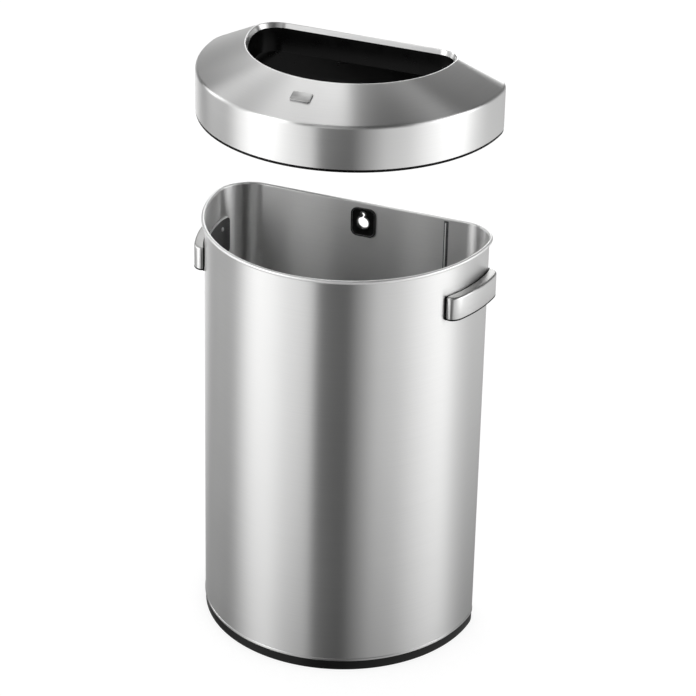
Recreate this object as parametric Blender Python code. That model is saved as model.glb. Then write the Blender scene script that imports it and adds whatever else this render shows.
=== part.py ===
"""Half-round waste bin: steel body on a plastic base ring, side handles, wall bracket and lift-off lid.

Metres, +Z up. The origin is on the floor under the middle of the bin; the flat back faces +Y.
The lid is modelled lifted straight up off the rim.
"""

import math

import bmesh
import bpy
import numpy as np
from mathutils import Vector

# Shared clearances
CLEARANCE = 0.0003
FACET_ALLOWANCE = 0.0003
CUT_OVERRUN = 0.002
JOIN_OVERLAP = 0.0005
WELD_DISTANCE = 0.000003

# Half-round outline of the body
BODY_WIDTH = 0.470
BODY_DEPTH = 0.297
BACK_CORNER_RADIUS = 0.0565
FRONT_STEPS = 32
CORNER_STEPS = 7
PATH_STEPS = 240

# Body shell
RIM_HEIGHT = 0.716
BODY_SHEET = 0.0009
RIM_BEAD_RADIUS = 0.0031
RIM_CURL_DEGREES = 300
RIM_CURL_STEPS = 9
FOOT_HEM_HEIGHT = 0.0034
FOOT_HEM_DEPTH = 0.0006
SEAM_FROM_MIDDLE = 0.144
SEAM_LAP_WIDTH = 0.008
SEAM_LAP_THICKNESS = 0.0009
SEAM_BELOW_RIM = 0.0045

# Base ring
RING_HEIGHT = 0.0172
RING_INSET = 0.0006
RING_FOOT_CHAMFER = 0.0008
RING_FOOT_WIDTH = 0.022
RING_LEDGE_HEIGHT = 0.0095
RING_UPSTAND_HEIGHT = 0.014
RING_UPSTAND_THICKNESS = 0.0024
RING_OUTER_WALL = 0.005
RING_INNER_WALL = 0.003
RING_POCKET_ROOF = 0.0025

# Floor pan
PAN_SHEET = 0.0008
PAN_FLANGE_HEIGHT = 0.011
PAN_FLANGE_RADIUS = 0.003
PAN_MARGIN = 0.024
PAN_STEP_WIDTH = 0.006
PAN_STEP_HEIGHT = 0.004

# Screws
SCREW_SIDES = 10
SCREW_RADIUS = 0.002
SCREW_HEAD_RADIUS = 0.0038
SCREW_HEAD_HEIGHT = 0.0024
SCREW_CROWN_RADIUS_SHARE = 0.6
SCREW_CROWN_HEIGHT_SHARE = 0.45
SCREW_TIP_SHARE = 0.4
SCREW_HOLE_FLOOR = 0.0012
FLOOR_SCREW_COUNT = 6
FLOOR_SCREW_GRIP = 0.0065
FLOOR_SCREW_SETBACK = 0.0123
FLOOR_SCREW_BOSS_WIDTH = 0.012
FLOOR_SCREW_BOSS_LIFT = 0.0006
HANDLE_SCREW_BITE = 0.009
LINER_SCREW_BITE = 0.006

# Wall bracket with its keyhole
BRACKET_WIDTH = 0.043
BRACKET_HEIGHT = 0.050
BRACKET_CORNER_RADIUS = 0.011
BRACKET_BELOW_RIM = 0.034
BRACKET_PLATE = 0.0022
BRACKET_BORDER_WIDTH = 0.0022
BRACKET_BORDER_HEIGHT = 0.0012
KEYHOLE_HEAD_BELOW_RIM = 0.0345
KEYHOLE_HEAD_RADIUS = 0.010
KEYHOLE_SLOT_BELOW_RIM = 0.0197
KEYHOLE_SLOT_RADIUS = 0.0035
KEYHOLE_NECK_WIDTH = 0.0035
KEYHOLE_COLLAR_WALL = 0.0018
RETAINER_THICKNESS = 0.0015
ROUND_STEPS = 6
KEYHOLE_STEPS = 16

# Handles
HANDLE_LENGTH = 0.130
HANDLE_PAST_CORNER = 0.015
HANDLE_BELOW_RIM = 0.052
HANDLE_HEIGHT = 0.038
HANDLE_REACH = 0.0175
HANDLE_END_REACH = 0.0045
HANDLE_END_ROUND = 0.020
HANDLE_TOP_RADIUS = 0.0035
HANDLE_COVER_SHEET = 0.0012
HANDLE_FLANGE = 0.0025
HANDLE_FLANGE_BORDER = 0.0006
HANDLE_LIP = 0.0022
HANDLE_CORE_WALL = 0.002
HANDLE_GRIP_ROOF = 0.003
HANDLE_SCREW_FROM_END = 0.012
HANDLE_SOLID_END = 0.024
HANDLE_END_STEPS = 5
HANDLE_MIDDLE_STEPS = 6
HANDLE_WALL_STEPS = 22
FILLET_STEPS = 3

# Backing plates inside the wall behind the handles
BACKING_THICKNESS = 0.0030
BACKING_PAST_HANDLE = 0.010
BACKING_BELOW_RIM = 0.053
BACKING_HEIGHT = 0.067
BACKING_EDGE_RADIUS = 0.0022
BACKING_CORNER_RADIUS = 0.006

# Lid shell
LID_LIFTED = 0.186
LID_OVERHANG = 0.014
LID_SHEET = 0.0009
LID_SKIRT_HEIGHT = 0.0688
LID_RISE = 0.0385
LID_CREASE_RUN = 0.0022
MOUTH_SIDE_MARGIN = 0.0655
MOUTH_FRONT_MARGIN = 0.06825
MOUTH_BACK_MARGIN = 0.02325
MOUTH_CORNER_RADIUS = 0.0385
MOUTH_CREST_RUN = 0.0028
MOUTH_CREST_DIP = 0.0005
MOUTH_CREST_STEPS = 4
MOUTH_LIP_DROP = 0.0086
MOUTH_LIP_REACH = 0.003

# Lid frame
FRAME_FLANGE = 0.0042
FRAME_FLANGE_INSET = 0.0004
FRAME_CHAMFER = 0.0005
FRAME_WALL = 0.0024
FRAME_SEAT_DEPTH = 0.022
FRAME_WEB = 0.0028
LOCATING_PLAY = 0.0013
LOCATING_WALL = 0.0022
LOCATING_DEPTH = 0.007
FRAME_DECK_ROOT = 0.002
FRAME_DECK_TOP = 0.0015
FRAME_SHELF = 0.0024
FRAME_SHELF_WIDTH = 0.0125
FRAME_SHELF_LIFT = 0.0005

# Throat liner
LINER_DEPTH = 0.047
LINER_WALL = 0.0022
LINER_STEP = 0.0008
LINER_DRAFT = 0.0022
LINER_TONGUE = 0.002
LINER_TONGUE_HEIGHT = 0.004
LINER_TONGUE_GAP = 0.0004
LINER_FLANGE = 0.0024
LINER_FLANGE_WIDTH = 0.012
LINER_SCREW_OFFSET = 0.0055
LINER_BOSS_RADIUS = 0.0042
LINER_BOSS_HEIGHT = 0.006
LID_SCREW_SHARES = (0.12, 0.5, 0.88)
LID_SCREW_SPOTS = ("front", "side", "back")

# Badge plate
BADGE_WIDTH = 0.033
BADGE_LENGTH = 0.019
BADGE_THICKNESS = 0.0018
BADGE_EDGE = 0.0006
BADGE_CORNER_RADIUS = 0.003
BADGE_MIDDLE_SHARE = 0.56
BADGE_STEPS = 3

# Shading
SHARP_DEGREES = 35

# Colour, roughness and metallic value of each material
BRUSHED_STEEL = ((0.62, 0.62, 0.61), 0.32, 1.0)
PLATE_STEEL = ((0.30, 0.30, 0.31), 0.40, 1.0)
SCREW_STEEL = ((0.30, 0.30, 0.31), 0.35, 1.0)
BLACK_PLASTIC = ((0.018, 0.018, 0.019), 0.45, 0.0)


class HalfRound:
    """D-shaped outline: a half-ellipse in front, two round back corners and a straight back."""

    def __init__(self, width, depth, corner, back_offset=0.0):
        self.half_width = width / 2
        self.corner = corner
        self.front_depth = depth - corner
        self.side_y = back_offset - depth / 2 + self.front_depth
        self.back_y = back_offset + depth / 2
        self.points, self.normals = self.stations()
        self.path_points, self.path_normals, self.path_lengths = self.half_path()
        self.side_length = float(self.path_lengths[PATH_STEPS])
        self.half_length = float(self.path_lengths[-1])

    def front(self, angle):
        """Point and outward normal on the front, angle 0 at its middle, positive to +X."""
        x = self.half_width * math.sin(angle)
        y = self.side_y - self.front_depth * math.cos(angle)
        normal = np.array((math.sin(angle) / self.half_width, -math.cos(angle) / self.front_depth))
        return (x, y), tuple(normal / np.linalg.norm(normal))

    def back_corner(self, angle, side):
        """Point and outward normal on a back corner, angle 0 at the side, a right angle at the back."""
        normal = (side * math.cos(angle), math.sin(angle))
        x = side * (self.half_width - self.corner) + self.corner * normal[0]
        return (x, self.side_y + self.corner * normal[1]), normal

    def stations(self):
        """The outline's corners, counter-clockwise seen from above, starting at the left side."""
        pairs = [self.front(math.pi * (step / FRONT_STEPS - 1 / 2)) for step in range(FRONT_STEPS + 1)]
        turns = [math.pi / 2 * step / CORNER_STEPS for step in range(1, CORNER_STEPS + 1)]
        pairs += [self.back_corner(turn, 1) for turn in turns]
        pairs += [self.back_corner(turn, -1) for turn in reversed(turns)]
        return np.array([p for p, _ in pairs]), np.array([n for _, n in pairs])

    def half_path(self):
        """A fine path from the front's middle over the right side to the back's middle."""
        angles = [math.pi / 2 * step / PATH_STEPS for step in range(PATH_STEPS + 1)]
        pairs = [self.front(angle) for angle in angles]
        pairs += [self.back_corner(angle, 1) for angle in angles[1:]]
        pairs.append(((0.0, self.back_y), (0.0, 1.0)))
        points = np.array([p for p, _ in pairs])
        normals = np.array([n for _, n in pairs])
        steps = np.linalg.norm(np.diff(points, axis=0), axis=1)
        return points, normals, np.concatenate([[0.0], np.cumsum(steps)])

    def along(self, distance, offset=0.0):
        """Point moved out by offset, and the normal, at a distance from the front's middle.

        A positive distance runs over the right side, a negative one over the left.
        """
        side = -1.0 if distance < 0 else 1.0
        reach = abs(distance)
        point = np.array([np.interp(reach, self.path_lengths, self.path_points[:, k]) for k in (0, 1)])
        normal = np.array([np.interp(reach, self.path_lengths, self.path_normals[:, k]) for k in (0, 1)])
        normal /= np.linalg.norm(normal)
        mirror = np.array((side, 1.0))
        return (point + offset * normal) * mirror, normal * mirror

    def ring(self, offset, z):
        """One ring of corners, moved out by offset, at height z."""
        flat = self.points + offset * self.normals
        return np.column_stack([flat, np.full(len(flat), z)])


BODY = HalfRound(BODY_WIDTH, BODY_DEPTH, BACK_CORNER_RADIUS)
MOUTH = HalfRound(
    BODY_WIDTH - 2 * MOUTH_SIDE_MARGIN,
    BODY_DEPTH - MOUTH_FRONT_MARGIN - MOUTH_BACK_MARGIN,
    MOUTH_CORNER_RADIUS,
    (MOUTH_FRONT_MARGIN - MOUTH_BACK_MARGIN) / 2,
)


def make_material(name, colour, roughness, metallic):
    material = bpy.data.materials.new(name)
    material.use_nodes = True
    shader = material.node_tree.nodes["Principled BSDF"]
    shader.inputs["Base Color"].default_value = (*colour, 1.0)
    shader.inputs["Roughness"].default_value = roughness
    shader.inputs["Metallic"].default_value = metallic
    material.diffuse_color = (*colour, 1.0)
    return material


def make_object(name, vertices, faces, material=None):
    mesh = bpy.data.meshes.new(name)
    mesh.from_pydata([tuple(v) for v in vertices], [], faces)
    if material is not None:
        mesh.materials.append(material)
    shape = bpy.data.objects.new(name, mesh)
    bpy.context.scene.collection.objects.link(shape)
    return shape


def face_out(shape):
    work = bmesh.new()
    work.from_mesh(shape.data)
    bmesh.ops.recalc_face_normals(work, faces=work.faces)
    work.to_mesh(shape.data)
    work.free()


def smooth(shape):
    shape.data.shade_smooth()
    shape.data.set_sharp_from_angle(angle=math.radians(SHARP_DEGREES))


def join_rings(rings, closed_section):
    """Faces between rings of equal length; closed_section also joins the last ring to the first."""
    count = len(rings[0])
    pairs = [(k, k + 1) for k in range(len(rings) - 1)]
    if closed_section:
        pairs.append((len(rings) - 1, 0))
    faces = []
    for low, high in pairs:
        for i in range(count):
            j = (i + 1) % count
            faces.append((low * count + i, low * count + j, high * count + j, high * count + i))
    return faces


def swept_section(name, rings, material):
    """A closed body whose cross-section's corners are each carried round the outline as one ring."""
    shape = make_object(name, np.concatenate(rings), join_rings(rings, True), material)
    face_out(shape)
    smooth(shape)
    return shape


def sheet(name, rings, thickness, material, grow, cap=False):
    """Sheet metal through the rings; grow -1 thickens it behind its faces and 1 in front of them.

    With cap the last ring is closed over.
    """
    faces = join_rings(rings, False)
    if cap:
        count = len(rings[0])
        faces.append(tuple(range((len(rings) - 1) * count, len(rings) * count)))
    shape = make_object(name, np.concatenate(rings), faces, material)
    thicken = shape.modifiers.new("thickness", "SOLIDIFY")
    thicken.thickness = thickness
    thicken.offset = grow
    thicken.use_even_offset = True
    thicken.use_quality_normals = True
    bake(shape)
    face_out(shape)
    smooth(shape)
    return shape


def bar(name, sections, material=None):
    """A closed body through a row of equal sections, with flat ends."""
    count = len(sections[0])
    faces = join_rings(sections, False)
    faces.append(tuple(range(count)))
    faces.append(tuple(range((len(sections) - 1) * count, len(sections) * count)))
    shape = make_object(name, np.concatenate(sections), faces, material)
    face_out(shape)
    return shape


def prism(name, outline, from_y, to_y, material=None):
    """A flat outline in X and Z, carried from one Y to another."""
    ends = [np.array([(x, y, z) for x, z in outline]) for y in (from_y, to_y)]
    return bar(name, ends, material)


def turned(name, profile, places, axes, material=None):
    """Bodies of revolution: profile is (radius, distance along the axis), one body for each place."""
    vertices = []
    faces = []
    for centre, axis in zip(places, axes):
        direction = np.array(axis) / np.linalg.norm(axis)
        across = np.cross(direction, np.eye(3)[np.argmin(np.abs(direction))])
        across /= np.linalg.norm(across)
        upward = np.cross(direction, across)
        first = len(vertices)
        for radius, distance in profile:
            for side in range(SCREW_SIDES):
                angle = 2 * math.pi * side / SCREW_SIDES
                spoke = math.cos(angle) * across + math.sin(angle) * upward
                vertices.append(np.array(centre) + distance * direction + radius * spoke)
        rings = len(profile)
        for low in range(rings - 1):
            for i in range(SCREW_SIDES):
                j = (i + 1) % SCREW_SIDES
                row, above = first + low * SCREW_SIDES, first + (low + 1) * SCREW_SIDES
                faces.append((row + i, row + j, above + j, above + i))
        faces.append(tuple(range(first, first + SCREW_SIDES)))
        last = first + (rings - 1) * SCREW_SIDES
        faces.append(tuple(range(last, last + SCREW_SIDES)))
    shape = make_object(name, vertices, faces, material)
    face_out(shape)
    return shape


def bake(shape):
    """Give the object the mesh that its modifiers make."""
    graph = bpy.context.evaluated_depsgraph_get()
    mesh = bpy.data.meshes.new_from_object(shape.evaluated_get(graph))
    shape.modifiers.clear()
    before = shape.data
    shape.data = mesh
    bpy.data.meshes.remove(before)
    mesh.name = shape.name


def combine(shape, tool, operation):
    """Cut or join the shape with a tool, which is used up."""
    modifier = shape.modifiers.new("combine", "BOOLEAN")
    modifier.operation = operation
    modifier.solver = "EXACT"
    modifier.object = tool
    bake(shape)
    mesh = tool.data
    bpy.data.objects.remove(tool)
    bpy.data.meshes.remove(mesh)
    weld(shape)
    smooth(shape)


def weld(shape):
    """Merge corners that a Boolean left next to each other."""
    work = bmesh.new()
    work.from_mesh(shape.data)
    bmesh.ops.remove_doubles(work, verts=work.verts, dist=WELD_DISTANCE)
    bmesh.ops.dissolve_degenerate(work, edges=work.edges, dist=WELD_DISTANCE)
    work.to_mesh(shape.data)
    work.free()


def cut(shape, tool):
    combine(shape, tool, "DIFFERENCE")


def join(shape, tool):
    combine(shape, tool, "UNION")


def screw_profile(shank):
    """Pan-head screw: the head starts at distance zero and the shank runs on from it."""
    tip = SCREW_HEAD_HEIGHT + shank
    return [
        (SCREW_CROWN_RADIUS_SHARE * SCREW_HEAD_RADIUS, 0.0),
        (SCREW_HEAD_RADIUS, SCREW_CROWN_HEIGHT_SHARE * SCREW_HEAD_HEIGHT),
        (SCREW_HEAD_RADIUS, SCREW_HEAD_HEIGHT),
        (SCREW_RADIUS, SCREW_HEAD_HEIGHT),
        (SCREW_RADIUS, tip - SCREW_RADIUS),
        (SCREW_TIP_SHARE * SCREW_RADIUS, tip),
    ]


# Heights and offsets that follow from the sizes above

SHELL_INSIDE = -BODY_SHEET
SHELL_FOOT = RING_HEIGHT + CLEARANCE
BEAD_CENTRE = RIM_BEAD_RADIUS - BODY_SHEET
BACK_Y = BODY.back_y
HANDLE_STACK = BODY_SHEET + FACET_ALLOWANCE + CLEARANCE + BACKING_THICKNESS
HANDLE_TOP = RIM_HEIGHT - HANDLE_BELOW_RIM
HANDLE_BOTTOM = HANDLE_TOP - HANDLE_HEIGHT
HANDLE_END = BODY.side_length + HANDLE_PAST_CORNER
HANDLE_START = HANDLE_END - HANDLE_LENGTH
LID_BOTTOM = RIM_HEIGHT + LID_LIFTED
SKIRT_FOOT = LID_BOTTOM + FRAME_FLANGE + CLEARANCE
CREASE_HEIGHT = SKIRT_FOOT + LID_SKIRT_HEIGHT
CREST_HEIGHT = CREASE_HEIGHT + LID_RISE
LIP_FOOT = CREST_HEIGHT - MOUTH_LIP_DROP
LINER_FOOT = CREST_HEIGHT - LINER_DEPTH
FLOOR_SCREWS_UP = [(0.0, 0.0, 1.0)] * FLOOR_SCREW_COUNT
FLOOR_SCREWS_DOWN = [(0.0, 0.0, -1.0)] * FLOOR_SCREW_COUNT


def soft_corner(start, corner, end, steps):
    """Rings that turn the corner between two rings on a parabola."""
    shares = [step / steps for step in range(steps + 1)]
    return [(1 - s) ** 2 * start + 2 * s * (1 - s) * corner + s ** 2 * end for s in shares]


def toward(start, end, distance):
    """The ring that lies a fixed distance from one ring on the way to another."""
    way = end - start
    return start + distance * way / np.linalg.norm(way, axis=1)[:, None]


def body_shell(material):
    """Sheet wrap traced up its inner face, over the rolled rim and back under it."""
    joggle = SHELL_INSIDE + FOOT_HEM_DEPTH
    rings = [
        BODY.ring(joggle, SHELL_FOOT),
        BODY.ring(joggle, SHELL_FOOT + FOOT_HEM_HEIGHT),
        BODY.ring(SHELL_INSIDE, SHELL_FOOT + FOOT_HEM_HEIGHT + FOOT_HEM_DEPTH),
    ]
    for step in range(RIM_CURL_STEPS + 1):
        angle = math.radians(180 - RIM_CURL_DEGREES * step / RIM_CURL_STEPS)
        offset = BEAD_CENTRE + RIM_BEAD_RADIUS * math.cos(angle)
        rise = RIM_BEAD_RADIUS * (math.sin(angle) - 1)
        rings.append(BODY.ring(offset, RIM_HEIGHT + rise))
    shell = sheet("body_shell", rings, BODY_SHEET, material, grow=1)

    left, right = SEAM_FROM_MIDDLE - SEAM_LAP_WIDTH / 2, SEAM_FROM_MIDDLE + SEAM_LAP_WIDTH / 2
    bottom, top = SHELL_FOOT + RING_UPSTAND_HEIGHT + CLEARANCE, RIM_HEIGHT - SEAM_BELOW_RIM
    lap = [(left, bottom), (right, bottom), (right, top), (left, top)]
    lap_inside = BACK_Y - BODY_SHEET - SEAM_LAP_THICKNESS
    join(shell, prism("lap", lap, lap_inside, BACK_Y - BODY_SHEET / 2))

    window = keyhole_outline(KEYHOLE_COLLAR_WALL + CLEARANCE)
    cut(shell, prism("window", window, BACK_Y - BODY_SHEET - CUT_OVERRUN, BACK_Y + CUT_OVERRUN))
    cut_screw_holes(shell)
    return shell


def base_ring(material):
    """Plastic ring: foot and outer face, ledge under the shell, upstand inside it, ledge for the pan."""
    face = -RING_INSET
    upstand = SHELL_INSIDE - CLEARANCE
    inner = upstand - RING_UPSTAND_THICKNESS
    section = [
        (face - RING_FOOT_CHAMFER, 0.0),
        (face, RING_FOOT_CHAMFER),
        (face, RING_HEIGHT),
        (upstand, RING_HEIGHT),
        (upstand, RING_HEIGHT + RING_UPSTAND_HEIGHT),
        (inner, RING_HEIGHT + RING_UPSTAND_HEIGHT),
        (inner, RING_LEDGE_HEIGHT),
        (-RING_FOOT_WIDTH, RING_LEDGE_HEIGHT),
        (-RING_FOOT_WIDTH, 0.0),
        (RING_INNER_WALL - RING_FOOT_WIDTH, 0.0),
        (RING_INNER_WALL - RING_FOOT_WIDTH, RING_LEDGE_HEIGHT - RING_POCKET_ROOF),
        (face - RING_OUTER_WALL, RING_LEDGE_HEIGHT - RING_POCKET_ROOF),
        (face - RING_OUTER_WALL, 0.0),
    ]
    ring = swept_section("base_ring", [BODY.ring(offset, z) for offset, z in section], material)
    reach = RING_FOOT_WIDTH - RING_OUTER_WALL - RING_INNER_WALL
    for distance in floor_screw_distances():
        middle, normal = BODY.along(distance, -RING_OUTER_WALL - reach / 2)
        across = (reach / 2 + JOIN_OVERLAP) * normal
        width = FLOOR_SCREW_BOSS_WIDTH / 2 * np.array((-normal[1], normal[0]))
        corners = [middle - across - width, middle + across - width]
        corners += [middle + across + width, middle - across + width]
        levels = (FLOOR_SCREW_BOSS_LIFT, RING_LEDGE_HEIGHT - RING_POCKET_ROOF + JOIN_OVERLAP)
        join(ring, bar("boss", [np.array([(x, y, z) for x, y in corners]) for z in levels]))
    holes = [(SCREW_RADIUS + CLEARANCE, 0.0), (SCREW_RADIUS + CLEARANCE, RING_LEDGE_HEIGHT)]
    places = floor_screw_places(FLOOR_SCREW_BOSS_LIFT + SCREW_HOLE_FLOOR)
    cut(ring, turned("holes", holes, places, FLOOR_SCREWS_UP))
    return ring


def floor_screw_distances():
    """Distances from the front's middle, spaced evenly round the whole outline."""
    spacing = 2 * BODY.half_length / FLOOR_SCREW_COUNT
    return [spacing * (step - (FLOOR_SCREW_COUNT - 1) / 2) for step in range(FLOOR_SCREW_COUNT)]


def floor_screw_places(z):
    spots = [BODY.along(distance, -FLOOR_SCREW_SETBACK)[0] for distance in floor_screw_distances()]
    return [(x, y, z) for x, y in spots]


def floor_pan(material):
    """Pressed floor: upturned edge, flat margin on the ring's ledge and a raised middle."""
    edge = SHELL_INSIDE - RING_UPSTAND_THICKNESS - 2 * CLEARANCE - PAN_SHEET
    floor = RING_LEDGE_HEIGHT + CLEARANCE + PAN_SHEET
    top = BODY.ring(edge, floor + PAN_FLANGE_HEIGHT)
    corner = BODY.ring(edge, floor)
    start = BODY.ring(edge, floor + PAN_FLANGE_RADIUS)
    end = BODY.ring(edge - PAN_FLANGE_RADIUS, floor)
    rings = [top, *soft_corner(start, corner, end, FILLET_STEPS - 1)]
    rings.append(BODY.ring(-PAN_MARGIN, floor))
    rings.append(BODY.ring(-PAN_MARGIN - PAN_STEP_WIDTH, floor + PAN_STEP_HEIGHT))
    pan = sheet("floor_pan", rings, PAN_SHEET, material, grow=-1, cap=True)
    hole = [(SCREW_RADIUS + CLEARANCE, 0.0), (SCREW_RADIUS + CLEARANCE, 2 * CUT_OVERRUN + PAN_SHEET)]
    cut(pan, turned("holes", hole, floor_screw_places(floor - PAN_SHEET - CUT_OVERRUN), FLOOR_SCREWS_UP))
    return pan


def place_screws(names, shank, places, axes, material):
    """Screws that share one mesh, each placed and turned by its object."""
    first = turned(names[0], screw_profile(shank), [(0.0, 0.0, 0.0)], [(0.0, 0.0, 1.0)], material)
    for name, place, axis in zip(names, places, axes):
        shape = first
        if name != names[0]:
            shape = bpy.data.objects.new(name, first.data)
            bpy.context.scene.collection.objects.link(shape)
        shape.location = place
        shape.rotation_euler = Vector(axis).to_track_quat("Z", "Y").to_euler()


def floor_screws(material):
    head = RING_LEDGE_HEIGHT + PAN_SHEET + 2 * CLEARANCE + SCREW_HEAD_HEIGHT
    names = [f"floor_screw_{count + 1}" for count in range(FLOOR_SCREW_COUNT)]
    place_screws(names, FLOOR_SCREW_GRIP, floor_screw_places(head), FLOOR_SCREWS_DOWN, material)


def keyhole_outline(grow):
    """Round head below, narrow neck and small round slot above, in X and Z.

    Grown far enough the two rounds meet, and the outline turns from one into the other.
    """
    head = KEYHOLE_HEAD_RADIUS + grow
    slot = KEYHOLE_SLOT_RADIUS + grow
    neck = KEYHOLE_NECK_WIDTH / 2 + grow
    rise = KEYHOLE_HEAD_BELOW_RIM - KEYHOLE_SLOT_BELOW_RIM
    meet_rise = (rise ** 2 + head ** 2 - slot ** 2) / (2 * rise)
    meet_half = math.sqrt(max(head ** 2 - meet_rise ** 2, 0.0))
    meeting = meet_half > neck
    if meeting:
        neck = meet_half
    head_z = RIM_HEIGHT - KEYHOLE_HEAD_BELOW_RIM
    shut = math.asin(neck / head)
    outline = []
    for step in range(KEYHOLE_STEPS + 1):
        angle = math.pi / 2 + shut + (2 * math.pi - 2 * shut) * step / KEYHOLE_STEPS
        outline.append((head * math.cos(angle), head_z + head * math.sin(angle)))
    shut = math.pi - math.asin(neck / slot) if rise < meet_rise else math.asin(neck / slot)
    first = 1 if meeting else 0
    for step in range(first, ROUND_STEPS + 1 - first):
        angle = -math.pi / 2 + shut + (2 * math.pi - 2 * shut) * step / ROUND_STEPS
        outline.append((slot * math.cos(angle), head_z + rise + slot * math.sin(angle)))
    return outline


def rounded_plate(inset=0.0):
    """Rounded rectangle of the wall bracket in X and Z."""
    radius = BRACKET_CORNER_RADIUS - inset
    reach_x = BRACKET_WIDTH / 2 - inset - radius
    reach_z = BRACKET_HEIGHT / 2 - inset - radius
    middle = RIM_HEIGHT - BRACKET_BELOW_RIM
    outline = []
    for quarter, (side_x, side_z) in enumerate(((1, 1), (-1, 1), (-1, -1), (1, -1))):
        for step in range(ROUND_STEPS + 1):
            angle = math.pi / 2 * (quarter + step / ROUND_STEPS)
            x = side_x * reach_x + radius * math.cos(angle)
            z = middle + side_z * reach_z + radius * math.sin(angle)
            outline.append((x, z))
    return outline


def wall_bracket(material):
    """Plate inside the back wall with a raised border, a keyhole and a collar through the wall."""
    plate_out = BACK_Y - BODY_SHEET - CLEARANCE
    plate_in = plate_out - BRACKET_PLATE
    border_in = plate_in - BRACKET_BORDER_HEIGHT
    collar_out = BACK_Y + CLEARANCE + RETAINER_THICKNESS
    bracket = prism("wall_bracket", rounded_plate(), border_in, plate_out, material)
    field = prism("field", rounded_plate(BRACKET_BORDER_WIDTH), border_in - CUT_OVERRUN, plate_in)
    island = keyhole_outline(KEYHOLE_COLLAR_WALL)
    cut(field, prism("island", island, border_in - 2 * CUT_OVERRUN, plate_in + CUT_OVERRUN))
    cut(bracket, field)
    join(bracket, prism("collar", island, plate_in + BRACKET_PLATE / 2, collar_out))
    cut(bracket, prism("keyhole", keyhole_outline(0.0), border_in - CUT_OVERRUN, collar_out + CUT_OVERRUN))
    return bracket


def wall_bracket_retainer(material):
    """Flat plate round the collar on the outside of the back wall."""
    near = BACK_Y + CLEARANCE
    far = near + RETAINER_THICKNESS
    plate = prism("wall_bracket_retainer", rounded_plate(), near, far, material)
    hole = keyhole_outline(KEYHOLE_COLLAR_WALL + CLEARANCE)
    cut(plate, prism("hole", hole, near - CUT_OVERRUN, far + CUT_OVERRUN))
    return plate


def handle_ring(side, inset, near, z):
    """Plan outline of a handle: round ends and outer face moved in by inset, wall side at near."""
    start = HANDLE_START + inset
    length = HANDLE_LENGTH - 2 * inset
    round_length = HANDLE_END_ROUND - inset
    low, high = HANDLE_END_REACH - inset, HANDLE_REACH - inset
    low = max(low, near + JOIN_OVERLAP)
    outer = [(start, low)]
    ends = [math.pi / 2 * step / HANDLE_END_STEPS for step in range(1, HANDLE_END_STEPS + 1)]
    for angle in ends:
        outer.append((start + round_length * (1 - math.cos(angle)), low + (high - low) * math.sin(angle)))
    middle = length - 2 * round_length
    for step in range(1, HANDLE_MIDDLE_STEPS):
        outer.append((start + round_length + middle * step / HANDLE_MIDDLE_STEPS, high))
    for angle in reversed(ends):
        run = round_length * (1 - math.cos(angle))
        outer.append((start + length - run, low + (high - low) * math.sin(angle)))
    outer.append((start + length, low))
    wall = [(distance, near) for distance, _ in reversed(outer)]
    return plan_ring(side, outer + wall, z)


def plan_ring(side, plan, z):
    """Corners given by distance along the body's outline and offset from it, on one side."""
    ring = []
    for distance, offset in plan:
        (x, y), _ = BODY.along(side * distance, offset)
        ring.append((x, y, z))
    return np.array(ring)


def handle_body(name, side, inset, near, bottom, top, round_radius, material=None):
    """Solid handle shape between two heights, its top edge rounded all along the outer face."""
    rings = [handle_ring(side, inset, near, bottom)]
    for step in range(FILLET_STEPS + 1):
        angle = math.pi / 2 * step / FILLET_STEPS
        more = round_radius * (1 - math.cos(angle))
        rings.append(handle_ring(side, inset + more, near, top - round_radius * (1 - math.sin(angle))))
    return bar(name, rings, material)


def handle_cover(name, side, material):
    """Sheet cover, open at the bottom and at the wall."""
    near = HANDLE_FLANGE + CLEARANCE
    cover = handle_body(name, side, 0.0, near, HANDLE_BOTTOM, HANDLE_TOP, HANDLE_TOP_RADIUS, material)
    inner = handle_body(
        "inside", side, HANDLE_COVER_SHEET, near - CUT_OVERRUN, HANDLE_BOTTOM - CUT_OVERRUN,
        HANDLE_TOP - HANDLE_COVER_SHEET, HANDLE_TOP_RADIUS - HANDLE_COVER_SHEET,
    )
    cut(cover, inner)
    return cover


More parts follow.
